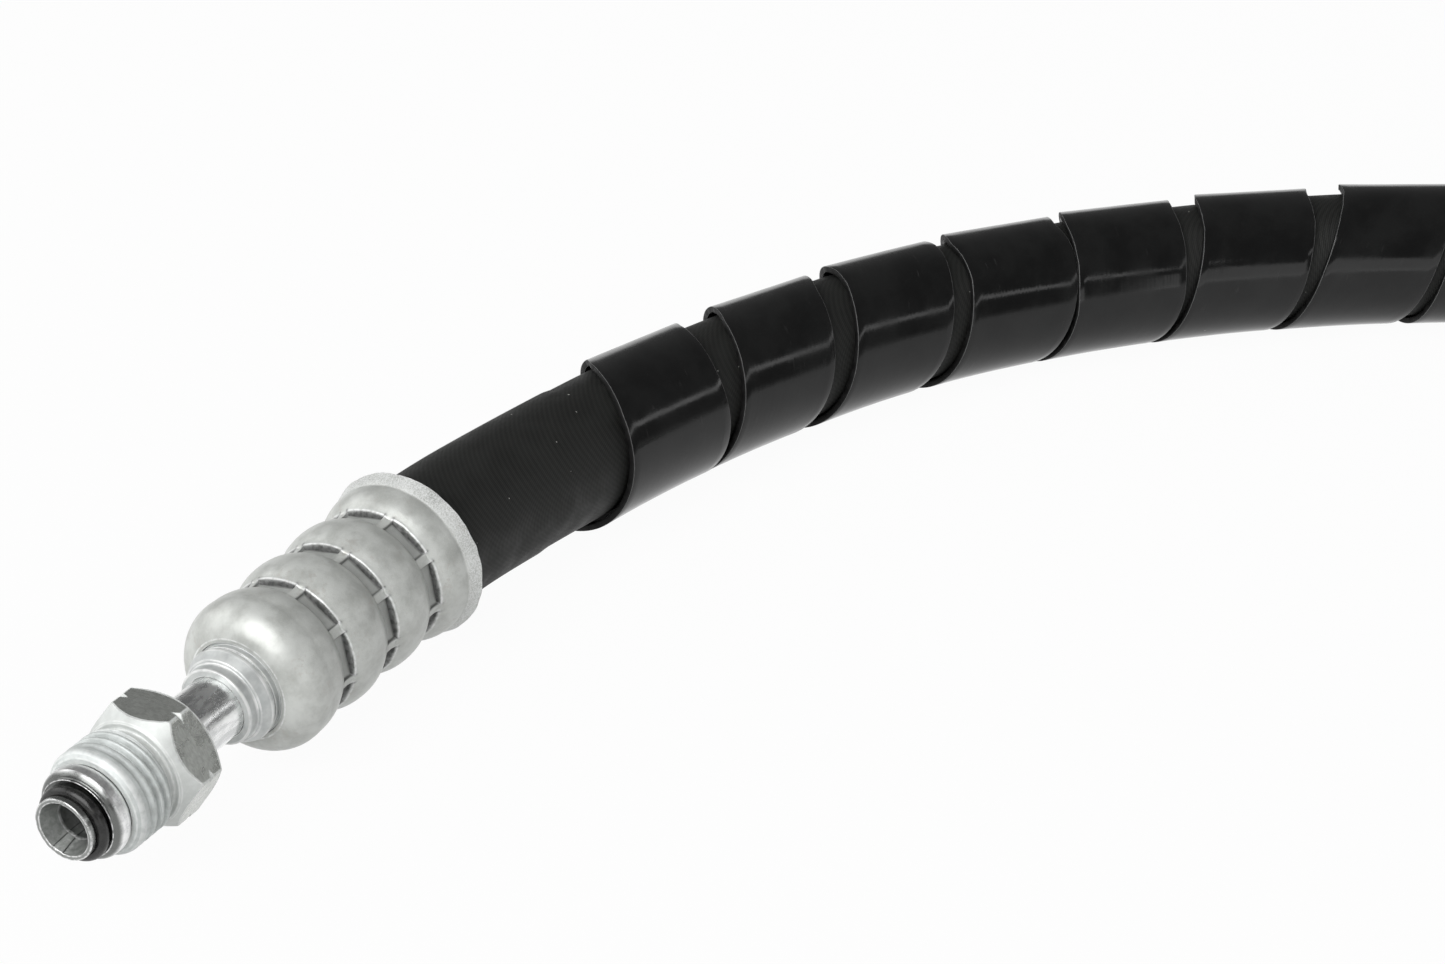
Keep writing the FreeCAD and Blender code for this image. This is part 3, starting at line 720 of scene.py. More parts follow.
# %% Place on the hose
def on_hose_tree():
    """Node group: a length along the line, an angle round it and a radius give a position."""
    tree = bpy.data.node_groups.new("On the hose", "GeometryNodeTree")
    face = tree.interface
    face.new_socket("Line", in_out="INPUT", socket_type="NodeSocketGeometry")
    for name in ("Length", "Angle", "Radius"):
        face.new_socket(name, in_out="INPUT", socket_type="NodeSocketFloat")
    face.new_socket("Position", in_out="OUTPUT", socket_type="NodeSocketVector")
    add = node_maker(tree)
    work, _, times = calculator(add)
    given = add("NodeGroupInput").outputs
    sample = add("GeometryNodeSampleCurve", {"Curves": given["Line"], "Length": given["Length"]},
                 mode="LENGTH", use_all_curves=True)
    side = add("ShaderNodeVectorMath", {0: sample.outputs["Tangent"], 1: (0.0, 0.0, 1.0)},
               operation="CROSS_PRODUCT").outputs[0]
    side = add("ShaderNodeVectorMath", {0: side}, operation="NORMALIZE").outputs[0]
    up = add("ShaderNodeVectorMath", {0: side, 1: sample.outputs["Tangent"]},
             operation="CROSS_PRODUCT").outputs[0]
    position = sample.outputs["Position"]
    for direction, turn in ((side, "COSINE"), (up, "SINE")):
        amount = times(given["Radius"], work(turn, given["Angle"]))
        part = add("ShaderNodeVectorMath", {0: direction, "Scale": amount}, operation="SCALE").outputs[0]
        position = add("ShaderNodeVectorMath", {0: position, 1: part}).outputs[0]
    add("NodeGroupOutput", {"Position": position})
    return tree


hose_place = on_hose_tree()
print("place on the hose:", len(hose_place.nodes), "nodes")

# %% [markdown]
# ## The spiral guard
# One flat plastic strip is wound left-handed round the hose. Its shape follows a rule, so Geometry
# Nodes make it: a flat grid is sent onto the hose's line, with the strip's length running round
# the hose and its width running along it. It could be modelled turn by turn, but then no measure
# could be changed for all turns at once. The turns of a real guard slide along the hose, so a
# table says how far each of them has slid.

# %% Measures of the guard
PITCH, STRIP_WIDTH, STRIP_THICKNESS, STRIP_BEVEL = 0.0232, 0.0193, 0.001, 0.00016
# How much of the hose's line is left bare at both ends together.
BARE_ENDS = 2 * 0.0786
GUARD_INPUTS = [
    ("Start", 0.0766), ("Run", 0.29), ("Pitch", PITCH), ("First angle", math.radians(-130.0)),
    ("Width", STRIP_WIDTH), ("Wider start", 0.16), ("Inner radius", 0.01065), ("Flare", 0.0006),
    ("Flared turns", 0.5), ("Front lift", 0.00045), ("Unevenness", 0.00008), ("Seed", 3.0),
]
# After how many turns the strip has slid how many millimetres, as the photograph shows it.
SLIDES = [
    (0.0, 8.6), (0.22, 5.8), (0.36, 4.0), (0.43, 2.9), (0.57, 1.7), (0.71, 3.4), (1.29, 4.8), (1.57, 4.8),
    (1.70, 5.9), (2.03, 5.7), (2.36, 6.4), (2.57, 6.6), (2.70, 5.1), (3.0, 5.9), (3.36, 7.5), (3.55, 6.1),
    (3.69, 3.9), (4.0, 4.8), (4.24, 5.9), (4.42, 4.8), (4.57, 2.8), (4.72, 1.5), (5.0, 2.5), (5.36, 4.2),
    (5.57, 3.1), (5.69, 1.7), (6.0, 2.2), (6.43, 3.9), (6.57, 4.5), (6.69, 2.8), (7.36, 2.5), (8.7, 1.9),
    (12.5, 0.3),
]
MOST_TURNS, MOST_SLIDE = 14.0, 10.0
# Turns over which the strip is wider at its start, and how many waves its wander has.
WIDER_TURNS, WANDER_WAVES = 0.7, 31.0
# Half the distance between the two places that measure a bend.
PROBE = 0.006
# The strip's marks are in millimetres: round a circle of this radius, and across this width.
MARK_R, MARK_WIDTH = 11.3, 20.4
STRIP_ROWS, STRIP_COLUMNS = 1150, 15
print("slides:", len(SLIDES), "rows:", STRIP_ROWS, "columns:", STRIP_COLUMNS)

# %% [markdown]
# ## Rules of the strip
# Four rules say where a point of the strip lies. It goes round and along the hose evenly. It keeps
# its real width, so where the hose bends, the gaps between its turns open on the outside of the
# bend and close on the inside. It slides by the table, with a slow wander on top. Its two ends
# spring open, and its front edge stands up, less where it is pressed on the ground.

# %% Even winding
def even_winding(tree):
    """The sockets that all rules use: share of the strip, turns done, angle, middle and so on."""
    add = node_maker(tree)
    work, plus, times = calculator(add)
    given = add("NodeGroupInput").outputs
    line = add("GeometryNodeObjectInfo", {"Object": given["Line object"]}).outputs["Geometry"]
    place = add("ShaderNodeSeparateXYZ", {0: add("GeometryNodeInputPosition").outputs[0]}).outputs
    share = plus(place["X"], 0.5)
    turns = work("DIVIDE", given["Run"], given["Pitch"])
    done = times(turns, share)
    return SimpleNamespace(
        add=add, work=work, plus=plus, times=times, given=given, line=line,
        share=share, across=place["Y"], turns=turns, done=done,
        angle=plus(given["First angle"], times(done, FULL_TURN)),
        middle=plus(given["Start"], times(given["Run"], share)))


def put_on_hose(g, length, radius):
    """Position of a place on the hose, at the winding's angle."""
    inputs = {"Line": g.line, "Length": length, "Angle": g.angle, "Radius": radius}
    return g.add("GeometryNodeGroup", inputs, node_tree=hose_place).outputs[0]


print("even turns:", round(dict(GUARD_INPUTS)["Run"] / PITCH, 2), "for each 0.29 m of hose")

# %% [markdown]
# ## Width, slide and radius
# The width is divided by how much longer the hose's surface is than its line at that place. A
# Float Curve holds the table of slides, because a curve can be read smoothly between its points.
# The radius grows at the ends of the strip and at its front edge.

# %% Width, slide and radius
def strip_width(g):
    """Width along the line. The surface is longer than the line on the outside of a bend."""
    ends = [put_on_hose(g, g.plus(g.middle, shift), g.given["Inner radius"]) for shift in (-PROBE, PROBE)]
    apart = g.add("ShaderNodeVectorMath", {0: ends[0], 1: ends[1]}, operation="DISTANCE").outputs["Value"]
    stretch = g.work("DIVIDE", apart, 2 * PROBE)
    wider = g.work("MAXIMUM", g.work("SUBTRACT", 1.0, g.work("DIVIDE", g.done, WIDER_TURNS)), 0.0)
    wider = g.plus(1.0, g.times(wider, g.times(g.given["Wider start"], 2.0)))
    return g.times(g.work("DIVIDE", g.given["Width"], stretch), wider)


def strip_slide(g):
    """How far the strip has slid, with a slow wander, so that no two gaps are quite the same."""
    slid = g.add("ShaderNodeFloatCurve", {"Value": g.work("DIVIDE", g.done, MOST_TURNS)})
    curve = slid.mapping.curves[0]
    for k, (at_turn, slide) in enumerate(SLIDES):
        place_on = (at_turn / MOST_TURNS, slide / MOST_SLIDE)
        # A new curve has two points already.
        if k < 2:
            curve.points[k].location = place_on
        else:
            curve.points.new(*place_on)
    slid.mapping.update()
    inputs = {0: g.times(g.share, WANDER_WAVES), 1: g.given["Seed"]}
    place = g.add("ShaderNodeCombineXYZ", inputs).outputs[0]
    noise = g.add("ShaderNodeTexNoise", {"Vector": place, "Scale": 1.0, "Detail": 1.0}).outputs["Fac"]
    wander = g.times(g.work("SUBTRACT", noise, 0.5), g.times(g.given["Unevenness"], 4.0))
    return g.plus(wander, g.times(slid.outputs[0], MOST_SLIDE * MM))


def strip_radius(g):
    """Radius of the strip's inner face, with its sprung ends and its lifted front edge."""
    from_end = g.work("MINIMUM", g.share, g.work("SUBTRACT", 1.0, g.share))
    flared = g.work("DIVIDE", from_end, g.work("DIVIDE", g.given["Flared turns"], g.turns))
    flared = g.work("MAXIMUM", g.work("SUBTRACT", 1.0, flared), 0.0)
    rise = g.times(g.given["Flare"], g.times(flared, flared))
    front = g.work("SUBTRACT", 0.5, g.across)
    free = g.plus(0.55, g.times(g.work("SINE", g.angle), 0.45))
    curl = g.times(g.given["Front lift"], g.times(g.times(front, front), free))
    return g.plus(g.plus(g.given["Inner radius"], rise), curl)


print("most slide in the table:", max(slide for _, slide in SLIDES), "mm")

# %% [markdown]
# ## The guard's node tree
# The rules come together here: the grid's points go to their places, and each keeps a mark with
# the millimetres along and across the strip, for the finish to follow. The tree's inputs show in
# the modifier, so the winding can be changed there by hand.

# %% Guard tree
def guard_tree():
    """Geometry Nodes for the wound strip's inner face."""
    tree = bpy.data.node_groups.new("Spiral guard", "GeometryNodeTree")
    face = tree.interface
    face.new_socket("Line object", in_out="INPUT", socket_type="NodeSocketObject")
    for name, value in GUARD_INPUTS:
        face.new_socket(name, in_out="INPUT", socket_type="NodeSocketFloat").default_value = value
    face.new_socket("Material", in_out="INPUT", socket_type="NodeSocketMaterial")
    face.new_socket("Geometry", in_out="OUTPUT", socket_type="NodeSocketGeometry")
    g = even_winding(tree)
    length = g.plus(g.plus(g.middle, g.times(g.across, strip_width(g))), strip_slide(g))
    position = put_on_hose(g, length, strip_radius(g))
    marks = {0: g.times(g.done, FULL_TURN * MARK_R), 1: g.times(g.across, MARK_WIDTH), 2: g.share}
    mark = g.add("ShaderNodeCombineXYZ", marks).outputs[0]
    grid = g.add("GeometryNodeMeshGrid", {"Size X": 1.0, "Size Y": 1.0, "Vertices X": STRIP_ROWS,
                                          "Vertices Y": STRIP_COLUMNS})
    stored = g.add("GeometryNodeStoreNamedAttribute",
                   {"Geometry": grid.outputs["Mesh"], "Name": "strip", "Value": mark},
                   data_type="FLOAT_VECTOR", domain="POINT")
    moved = g.add("GeometryNodeSetPosition", {"Geometry": stored.outputs[0], "Position": position})
    turned = g.add("GeometryNodeFlipFaces", {"Mesh": moved.outputs[0]})
    smooth = g.add("GeometryNodeSetShadeSmooth", {"Geometry": turned.outputs[0]})
    shaded = g.add("GeometryNodeSetMaterial",
                   {"Geometry": smooth.outputs[0], "Material": g.given["Material"]})
    g.add("NodeGroupOutput", {"Geometry": shaded.outputs[0]})
    return tree


winding = guard_tree()
print("guard tree:", len(winding.nodes), "nodes")

# %% [markdown]
# ## Winding the guard
# The tree makes a sheet without thickness. Solidify gives it thickness outwards and a second
# finish on its cut rim, and Bevel softens its edges. A sheet modelled solid from the start would
# need every rule twice. At the end the modifiers are turned into a plain mesh.

# %% Wind the guard
def line_object(name, points):
    """A plain curve object through points, for node trees to follow."""
    data = bpy.data.curves.new(name, "CURVE")
    data.dimensions = "3D"
    spline = data.splines.new("POLY")
    spline.points.add(len(points) - 1)
    for control, point in zip(spline.points, points):
        control.co = (*point, 1.0)
    made = bpy.data.objects.new(name, data)
    bpy.context.scene.collection.objects.link(made)
    return made


def wind_guard(line, material):
    """The whole strip as a plain mesh, with its thickness and its softened edges."""
    piece = bpy.data.objects.new("spiral_wrap", bpy.data.meshes.new("spiral_wrap"))
    bpy.context.scene.collection.objects.link(piece)
    total = float(np.linalg.norm(np.diff(whole_line, axis=0), axis=1).sum())
    sockets = winding.interface.items_tree
    inputs = {item.name: item.identifier for item in sockets if item.in_out == "INPUT"}
    wound = piece.modifiers.new("Wind", "NODES")
    wound.node_group = winding
    wound[inputs["Line object"]] = line
    wound[inputs["Run"]] = total - BARE_ENDS
    wound[inputs["Material"]] = material
    thick = piece.modifiers.new("Thickness", "SOLIDIFY")
    thick.thickness = STRIP_THICKNESS
    thick.offset = 1.0
    thick.use_even_offset = True
    thick.material_offset_rim = 1
    soft = piece.modifiers.new("Edges", "BEVEL")
    soft.width = STRIP_BEVEL
    soft.segments = 2
    soft.limit_method = "ANGLE"
    # The wound face takes slot 1, so a slot 2 is needed for the cut edges.
    for slot in range(3):
        piece.data.materials.append(material)
    bpy.context.view_layer.update()
    shown = piece.evaluated_get(bpy.context.evaluated_depsgraph_get())
    mesh = bpy.data.meshes.new_from_object(shown)
    piece.modifiers.clear()
    piece.data = mesh
    print("guard:", len(mesh.polygons), "faces,", round((total - BARE_ENDS) / PITCH, 2), "turns")
    return piece

# %% [markdown]
# ## Making shared effects
# Real surfaces are never one colour. Mottling, scratches, worn edges and specks are wanted by
# several finishes, so each is a node group of its own, and each finish places it with its own
# values. They read the piece's own marks, so a pattern follows the piece.

# %% Effect helpers
def effect_tree(name, inputs):
    """An empty shader group with named inputs and one mask, and the short ways to fill it."""
    tree = bpy.data.node_groups.new(name, "ShaderNodeTree")
    for socket, value in inputs.items():
        kind = "NodeSocketVector" if value is None else "NodeSocketFloat"
        made = tree.interface.new_socket(socket, in_out="INPUT", socket_type=kind)
        if value is not None:
            made.default_value = value
    tree.interface.new_socket("Mask", in_out="OUTPUT", socket_type="NodeSocketFloat")
    add = node_maker(tree)
    return tree, add, calculator(add)[0], add("NodeGroupInput").outputs


def ramp(add, value, low, high, to_low=0.0, to_high=1.0):
    """A value mapped smoothly from low and high to other numbers."""
    inputs = {"Value": value, "From Min": low, "From Max": high, "To Min": to_low, "To Max": to_high}
    return add("ShaderNodeMapRange", inputs, interpolation_type="SMOOTHSTEP").outputs["Result"]


print("effect helpers:", effect_tree.__name__, ramp.__name__)

# %% [markdown]
# ## The four effects
# Blotches come from smooth noise with a steep ramp. Scratches are the same noise pulled long, and
# only in some places. Worn edges are the mark of rounded edges, broken up by noise. Specks are
# the middles of random cells, of which only a few are picked, so that each speck is separate.

# %% Effects
def mottle_group():
    """Soft blotches."""
    tree, add, work, given = effect_tree("Mottle", {"Vector": None, "Scale": 1.0, "Detail": 4.0})
    noise = add("ShaderNodeTexNoise", {"Vector": given["Vector"], "Scale": given["Scale"],
                                       "Detail": given["Detail"], "Roughness": 0.62}).outputs["Fac"]
    add("NodeGroupOutput", {"Mask": ramp(add, noise, 0.34, 0.66)})
    return tree


def scratch_group():
    """Thin lines along X of the vector, here and there."""
    tree, add, work, given = effect_tree("Scratches", {"Vector": None, "Scale": 1.0, "Share": 0.3})
    thin = add("ShaderNodeVectorMath", {0: given["Vector"], 1: (0.06, 1.0, 1.0)},
               operation="MULTIPLY").outputs[0]
    lines = add("ShaderNodeTexNoise", {"Vector": thin, "Scale": given["Scale"],
                                       "Detail": 3.0}).outputs["Fac"]
    where = add("ShaderNodeTexNoise", {"Vector": given["Vector"], "Scale": 0.35}).outputs["Fac"]
    sharp = ramp(add, lines, 0.58, 0.66)
    there = ramp(add, where, work("SUBTRACT", 0.75, given["Share"]), 0.80)
    add("NodeGroupOutput", {"Mask": work("MULTIPLY", sharp, there)})
    return tree


def worn_edge_group():
    """Edges that are worn in some places and not in others."""
    tree, add, work, given = effect_tree("Worn edges", {"Vector": None, "Edge": 0.0, "Scale": 3.0})
    noise = add("ShaderNodeTexNoise", {"Vector": given["Vector"], "Scale": given["Scale"],
                                       "Detail": 3.0}).outputs["Fac"]
    some = ramp(add, noise, 0.35, 0.6, 0.25, 1.0)
    add("NodeGroupOutput", {"Mask": work("MULTIPLY", given["Edge"], some)})
    return tree


def speck_group():
    """Small separate specks, on a share of the cells."""
    inputs = {"Vector": None, "Scale": 1.0, "Share": 0.1, "Size": 0.15}
    tree, add, work, given = effect_tree("Specks", inputs)
    cells = add("ShaderNodeTexVoronoi", {"Vector": given["Vector"], "Scale": given["Scale"]})
    picked = add("ShaderNodeSeparateXYZ", {0: cells.outputs["Color"]}).outputs["X"]
    near = work("LESS_THAN", cells.outputs["Distance"], given["Size"])
    add("NodeGroupOutput", {"Mask": work("MULTIPLY", near, work("LESS_THAN", picked, given["Share"]))})
    return tree


EFFECTS = {
    "mottle": mottle_group(), "scratches": scratch_group(),
    "worn": worn_edge_group(), "specks": speck_group(),
}
print("effects:", list(EFFECTS))

# %% [markdown]
# ## One way to write a finish
# Every finish is a Principled shader whose colour, roughness and relief change over the surface.
# This class holds one material and the steps that all finishes take: read a mark, place an effect,
# lay one colour over another, and feed the shader.

# %% Finish helpers
class Finish:
    """One material, with short ways to build its nodes."""

    def __init__(self, name, **constants):
        self.material = bpy.data.materials.new(name)
        self.material.use_nodes = True
        self.tree = self.material.node_tree
        self.shader = self.tree.nodes["Principled BSDF"]
        for socket, value in constants.items():
            self.shader.inputs[socket.replace("_", " ")].default_value = value
        self.add = node_maker(self.tree)
        self.work, self.plus, self.times = calculator(self.add)

    def mark(self, name, vector=False):
        """One of the piece's own marks."""
        node = self.add("ShaderNodeAttribute", attribute_name=name)
        return node.outputs["Vector" if vector else "Fac"]

    def stretched(self, vector, by):
        """A vector scaled by three numbers."""
        return self.add("ShaderNodeVectorMath", {0: vector, 1: by}, operation="MULTIPLY").outputs[0]

    def noise(self, vector, scale, detail=3.0):
        """Plain noise."""
        inputs = {"Vector": vector, "Scale": scale, "Detail": detail}
        return self.add("ShaderNodeTexNoise", inputs).outputs["Fac"]

    def effect(self, name, vector, **values):
        """The mask of a shared effect."""
        inputs = {key.capitalize(): value for key, value in values.items()}
        inputs["Vector"] = vector
        return self.add("ShaderNodeGroup", inputs, node_tree=EFFECTS[name]).outputs["Mask"]

    def ramp(self, value, low, high):
        """A mask that rises smoothly from low to high."""
        return ramp(self.add, value, low, high)

    def rest(self, mask):
        """What a mask leaves."""
        return self.work("SUBTRACT", 1.0, mask)

    def span(self, mask, low, high):
        """A mask turned into a number between low and high."""
        inputs = {"Value": mask, "To Min": low, "To Max": high}
        return self.add("ShaderNodeMapRange", inputs).outputs["Result"]

    def mix(self, mask, first, second):
        """A colour between two colours, by a mask."""
        colours = [(*colour, 1.0) if isinstance(colour, tuple) else colour for colour in (first, second)]
        inputs = {"Factor": mask, 6: colours[0], 7: colours[1]}
        return self.add("ShaderNodeMix", inputs, data_type="RGBA").outputs[2]

    def over(self, colour, mask, share, top):
        """A colour laid over another, by a share of a mask."""
        return self.mix(self.times(mask, share), colour, top)

    def worn(self, colour, place, scale, share, bright):
        """A colour with the piece's edges worn bright here and there."""
        mask = self.effect("worn", place, edge=self.mark("edge"), scale=scale)
        return self.over(colour, mask, share, bright)

    def bump(self, height, strength, distance):
        """Relief from a height."""
        bump = self.add("ShaderNodeBump", {"Height": height, "Strength": strength, "Distance": distance})
        self.tree.links.new(bump.outputs["Normal"], self.shader.inputs["Normal"])

    def done(self, **sockets):
        """Feeds the shader's sockets and gives the material."""
        for socket, value in sockets.items():
            self.tree.links.new(value, self.shader.inputs[socket.replace("_", " ")])
        print(f"{self.material.name}: {len(self.tree.nodes)} nodes")
        return self.material


print("finish helpers:", len([name for name in vars(Finish) if not name.startswith("_")]))

# %% [markdown]
# ## Zinc of the ferrule
# The ferrule is zinc plated: satin, slightly grey, with faint blotches and smudges. The plating
# scatters light widely, so a fully metallic shader would come out too dark and sharp. It is only
# partly metallic, over a bright base. The prints are grainy, with painted shade on their floors
# and walls, and the cut lip is rough.

# %% Zinc of the ferrule
def ferrule_zinc():
    """Satin zinc with blotches, smudges, grainy prints with painted shade and a rough cut lip."""
    f = Finish("satin_zinc", Metallic=0.28, Specular_IOR_Level=0.35)
    place = f.mark("turned", vector=True)
    blotch = f.effect("mottle", place, scale=0.28, detail=5.0)
    fine = f.effect("mottle", place, scale=2.6, detail=3.0)
    colour = f.mix(blotch, (0.43, 0.442, 0.42), (0.575, 0.59, 0.567))
    colour = f.over(colour, fine, 0.25, (0.56, 0.57, 0.55))
    broad = f.effect("mottle", place, scale=0.16, detail=6.0)
    smudge = f.times(broad, f.effect("mottle", place, scale=1.3))
    colour = f.over(colour, f.ramp(smudge, 0.55, 1.0), 0.45, (0.40, 0.38, 0.35))
    # Painted shade: the prints' recessed floors a little darker, their walls and rear corners nearly
    # black.
    colour = f.over(colour, f.mark("pocket"), 0.5, (0.31, 0.32, 0.31))
    colour = f.over(colour, f.mark("wall"), 0.95, (0.02, 0.02, 0.019))
    cut = f.times(f.mark("cut"), f.effect("mottle", place, scale=4.5, detail=2.0))
    colour = f.over(colour, cut, 0.7, (0.85, 0.86, 0.86))
    colour = f.worn(colour, place, 1.4, 0.6, (0.88, 0.89, 0.89))
    rough = f.plus(f.span(blotch, 0.30, 0.37), f.times(f.mark("pocket"), 0.05))
    rough = f.plus(rough, f.times(f.mark("cut"), 0.12))
    grain = f.plus(f.noise(place, 6.0), f.times(f.noise(place, 2.2), f.mark("cut")))
    f.bump(f.plus(grain, f.times(f.noise(place, 1.1), 0.8)), 0.35, 0.00006)
    return f.done(Base_Color=colour, Roughness=rough)


satin_zinc = ferrule_zinc()

# %% [markdown]
# ## Zinc of the nut
# The nut has the same plating in a paler, bluish tone. Its six flats are darker, smoother and more
# metallic, with a fine speckle. One material does both, because the mark on the flats says which
# of the two a point has.

# %% Zinc of the nut
def nut_zinc():
    """Pale bluish zinc on the thread and the cones, and darker flats."""
    f = Finish("blue_zinc", Specular_IOR_Level=0.3)
    place = f.mark("turned", vector=True)
    blotch = f.effect("mottle", place, scale=0.5, detail=5.0)
    pale = f.mix(blotch, (0.53, 0.55, 0.535), (0.61, 0.63, 0.615))
    thread = f.mix(blotch, (0.46, 0.485, 0.475), (0.59, 0.62, 0.61))
    colour = f.mix(f.mark("thread"), pale, thread)
    speckle = f.effect("mottle", f.stretched(place, (1.0, 0.45, 0.45)), scale=3.0, detail=5.0)
    flat = f.mix(speckle, (0.46, 0.475, 0.45), (0.58, 0.60, 0.57))
    on_flats = f.ramp(f.mark("flat"), 0.4, 0.8)
    colour = f.mix(on_flats, colour, flat)
    colour = f.worn(colour, place, 0.9, 0.5, (0.80, 0.81, 0.80))
    rough = f.work("SUBTRACT", f.span(blotch, 0.36, 0.46), f.times(on_flats, 0.12))
    f.bump(f.plus(f.noise(place, 5.0), f.times(f.times(speckle, on_flats), 0.4)), 0.3, 0.00004)
    return f.done(Base_Color=colour, Roughness=rough, Metallic=f.span(on_flats, 0.2, 0.85))


blue_zinc = nut_zinc()

# %% [markdown]
# ## Zinc of the stem
# The stem was turned on a lathe before it was plated, so fine rings go round it. They come from
# noise that is pressed thin along the axis, as relief only.

# %% Zinc of the stem
def stem_zinc():
    """Smoother zinc, turned round, with bright edges."""
    f = Finish("bright_zinc", Metallic=0.4, Specular_IOR_Level=0.3)
    place = f.mark("turned", vector=True)
    rings = f.noise(f.stretched(place, (6.0, 0.25, 0.25)), 1.0)
    blotch = f.effect("mottle", place, scale=0.35, detail=3.0)
    colour = f.mix(blotch, (0.44, 0.457, 0.453), (0.56, 0.577, 0.568))
    colour = f.worn(colour, place, 0.4, 0.6, (0.86, 0.86, 0.85))
    f.bump(rings, 0.12, 0.00001)
    return f.done(Base_Color=colour, Roughness=f.span(blotch, 0.34, 0.42))


bright_zinc = stem_zinc()

# %% [markdown]
# ## Bare steel of the tube
# The tube is bare polished steel with fine slanted scratches and streaks round it, whose colour is
# painted reflection and whose roughness varies, and its formed bead has painted glints. Nothing
# covers the metal, so the shader is fully metallic. The places near the O-ring and the edges of the
# weld strip in the mouth get painted shade.

# %% Bare steel of the tube
# Up to these distances from the tip the outside is painted darker, as shade near the O-ring: wall, groove
# and land.
SHADE_NEAR_RING = [
    (3.6, 4.3, (0.17, 0.175, 0.17)), (2.9, 3.1, (0.10, 0.102, 0.10)), (1.0, 1.1, (0.30, 0.31, 0.30)),
]


def tube_steel():
    """Polished steel with painted reflection streaks round it, slanted scratches, painted glints on the
    bead, painted shade near the O-ring and a dull mouth.
    """
    f = Finish("bare_steel", Metallic=1.0)
    place = f.mark("turned", vector=True)
    mouth = f.mark("mouth")
    along = f.add("ShaderNodeSeparateXYZ", {0: place}).outputs["X"]
    streak = f.noise(f.stretched(place, (0.35, 1.2, 1.2)), 0.8, 4.0)
    slant = f.add("ShaderNodeVectorRotate", {"Vector": place, "Angle": 1.25, "Axis": (0.0, 0.4, 1.0)},
                  rotation_type="AXIS_ANGLE").outputs[0]
    scratch = f.effect("scratches", slant, scale=5.0, share=0.42)
    # The streaks' colour is painted reflection; they also vary the roughness below.
    colour = f.mix(f.ramp(streak, 0.35, 0.65), (0.62, 0.63, 0.63), (0.92, 0.93, 0.92))
    colour = f.over(colour, scratch, 0.7, (0.88, 0.89, 0.89))
    bead = f.times(f.ramp(along, 3.6, 4.6), f.rest(f.ramp(along, 6.0, 6.6)))
    # Painted glints on the formed bead.
    painted_glints = f.effect("mottle", place, scale=4.2, detail=2.0)
    colour = f.over(colour, f.times(bead, painted_glints), 0.8, (0.86, 0.86, 0.86))
    # Painted shade near the O-ring, laid in from the bead's wall to the land.
    for start, end, shade in SHADE_NEAR_RING:
        colour = f.mix(f.times(f.rest(mouth), f.rest(f.ramp(along, start, end))), colour, shade)
    inside = f.mix(f.effect("mottle", place, scale=1.2), (0.26, 0.27, 0.26), (0.36, 0.37, 0.36))
    colour = f.mix(mouth, colour, inside)
    # Painted shade lines along both edges of the weld strip.
    colour = f.mix(f.mark("seam"), colour, (0.04, 0.04, 0.04))
    colour = f.worn(colour, place, 1.6, 0.7, (0.90, 0.90, 0.90))
    rough = f.plus(f.span(streak, 0.18, 0.36), f.times(mouth, 0.25))
    rough = f.plus(rough, f.times(bead, 0.10))
    relief = f.plus(f.times(scratch, -0.6), f.times(bead, f.noise(place, 2.6)))
    f.bump(f.plus(relief, f.times(f.noise(place, 0.9), 0.5)), 0.45, 0.00009)
    return f.done(Base_Color=colour, Roughness=rough)


steel = tube_steel()

# %% [markdown]
# ## Plain dark finishes
# The O-ring is shiny black rubber, the rubber inside the hose is duller, and the guard's cut edges
# are matt. All three need only soft blotches and a fine grain, so one function makes them, and
# they differ in its values.

# %% Plain dark finishes
def dark_finish(name, mark, specular, mottle, colours, roughness, grain=None):
    """A dark surface with soft blotches. grain is its scale, strength and depth in metres."""
    f = Finish(name, Specular_IOR_Level=specular)
    place = f.mark(mark, vector=True)
    blotch = f.effect("mottle", place, **mottle)
    if grain:
        f.bump(f.noise(place, grain[0]), grain[1], grain[2])
    return f.done(Base_Color=f.mix(blotch, *colours), Roughness=f.span(blotch, *roughness))


seal = dark_finish("seal_rubber", "turned", 0.45, {"scale": 0.9, "detail": 4.0},
                   [(0.008, 0.008, 0.008), (0.020, 0.020, 0.019)], (0.22, 0.38), (4.0, 0.2, 0.00004))
rubber_inside = dark_finish("inner_rubber", "wound", 0.35, {"scale": 0.4},
                            [(0.012, 0.012, 0.012), (0.03, 0.03, 0.029)], (0.45, 0.6), (2.0, 0.3, 0.00005))
cut_plastic = dark_finish("guard_cut", "strip", 0.2, {"scale": 0.8, "detail": 3.0},
                          [(0.003, 0.003, 0.003), (0.007, 0.007, 0.007)], (0.5, 0.7))

# %% [markdown]
# ## Rubber of the cover
# The cover is matt rubber that took the print of its cloth wrapping: fine lines across the hose
# and a fainter slanted set, with a few white lint specks. Wave textures make the two sets of
# lines, which a picture of cloth could do too, but only at one size.

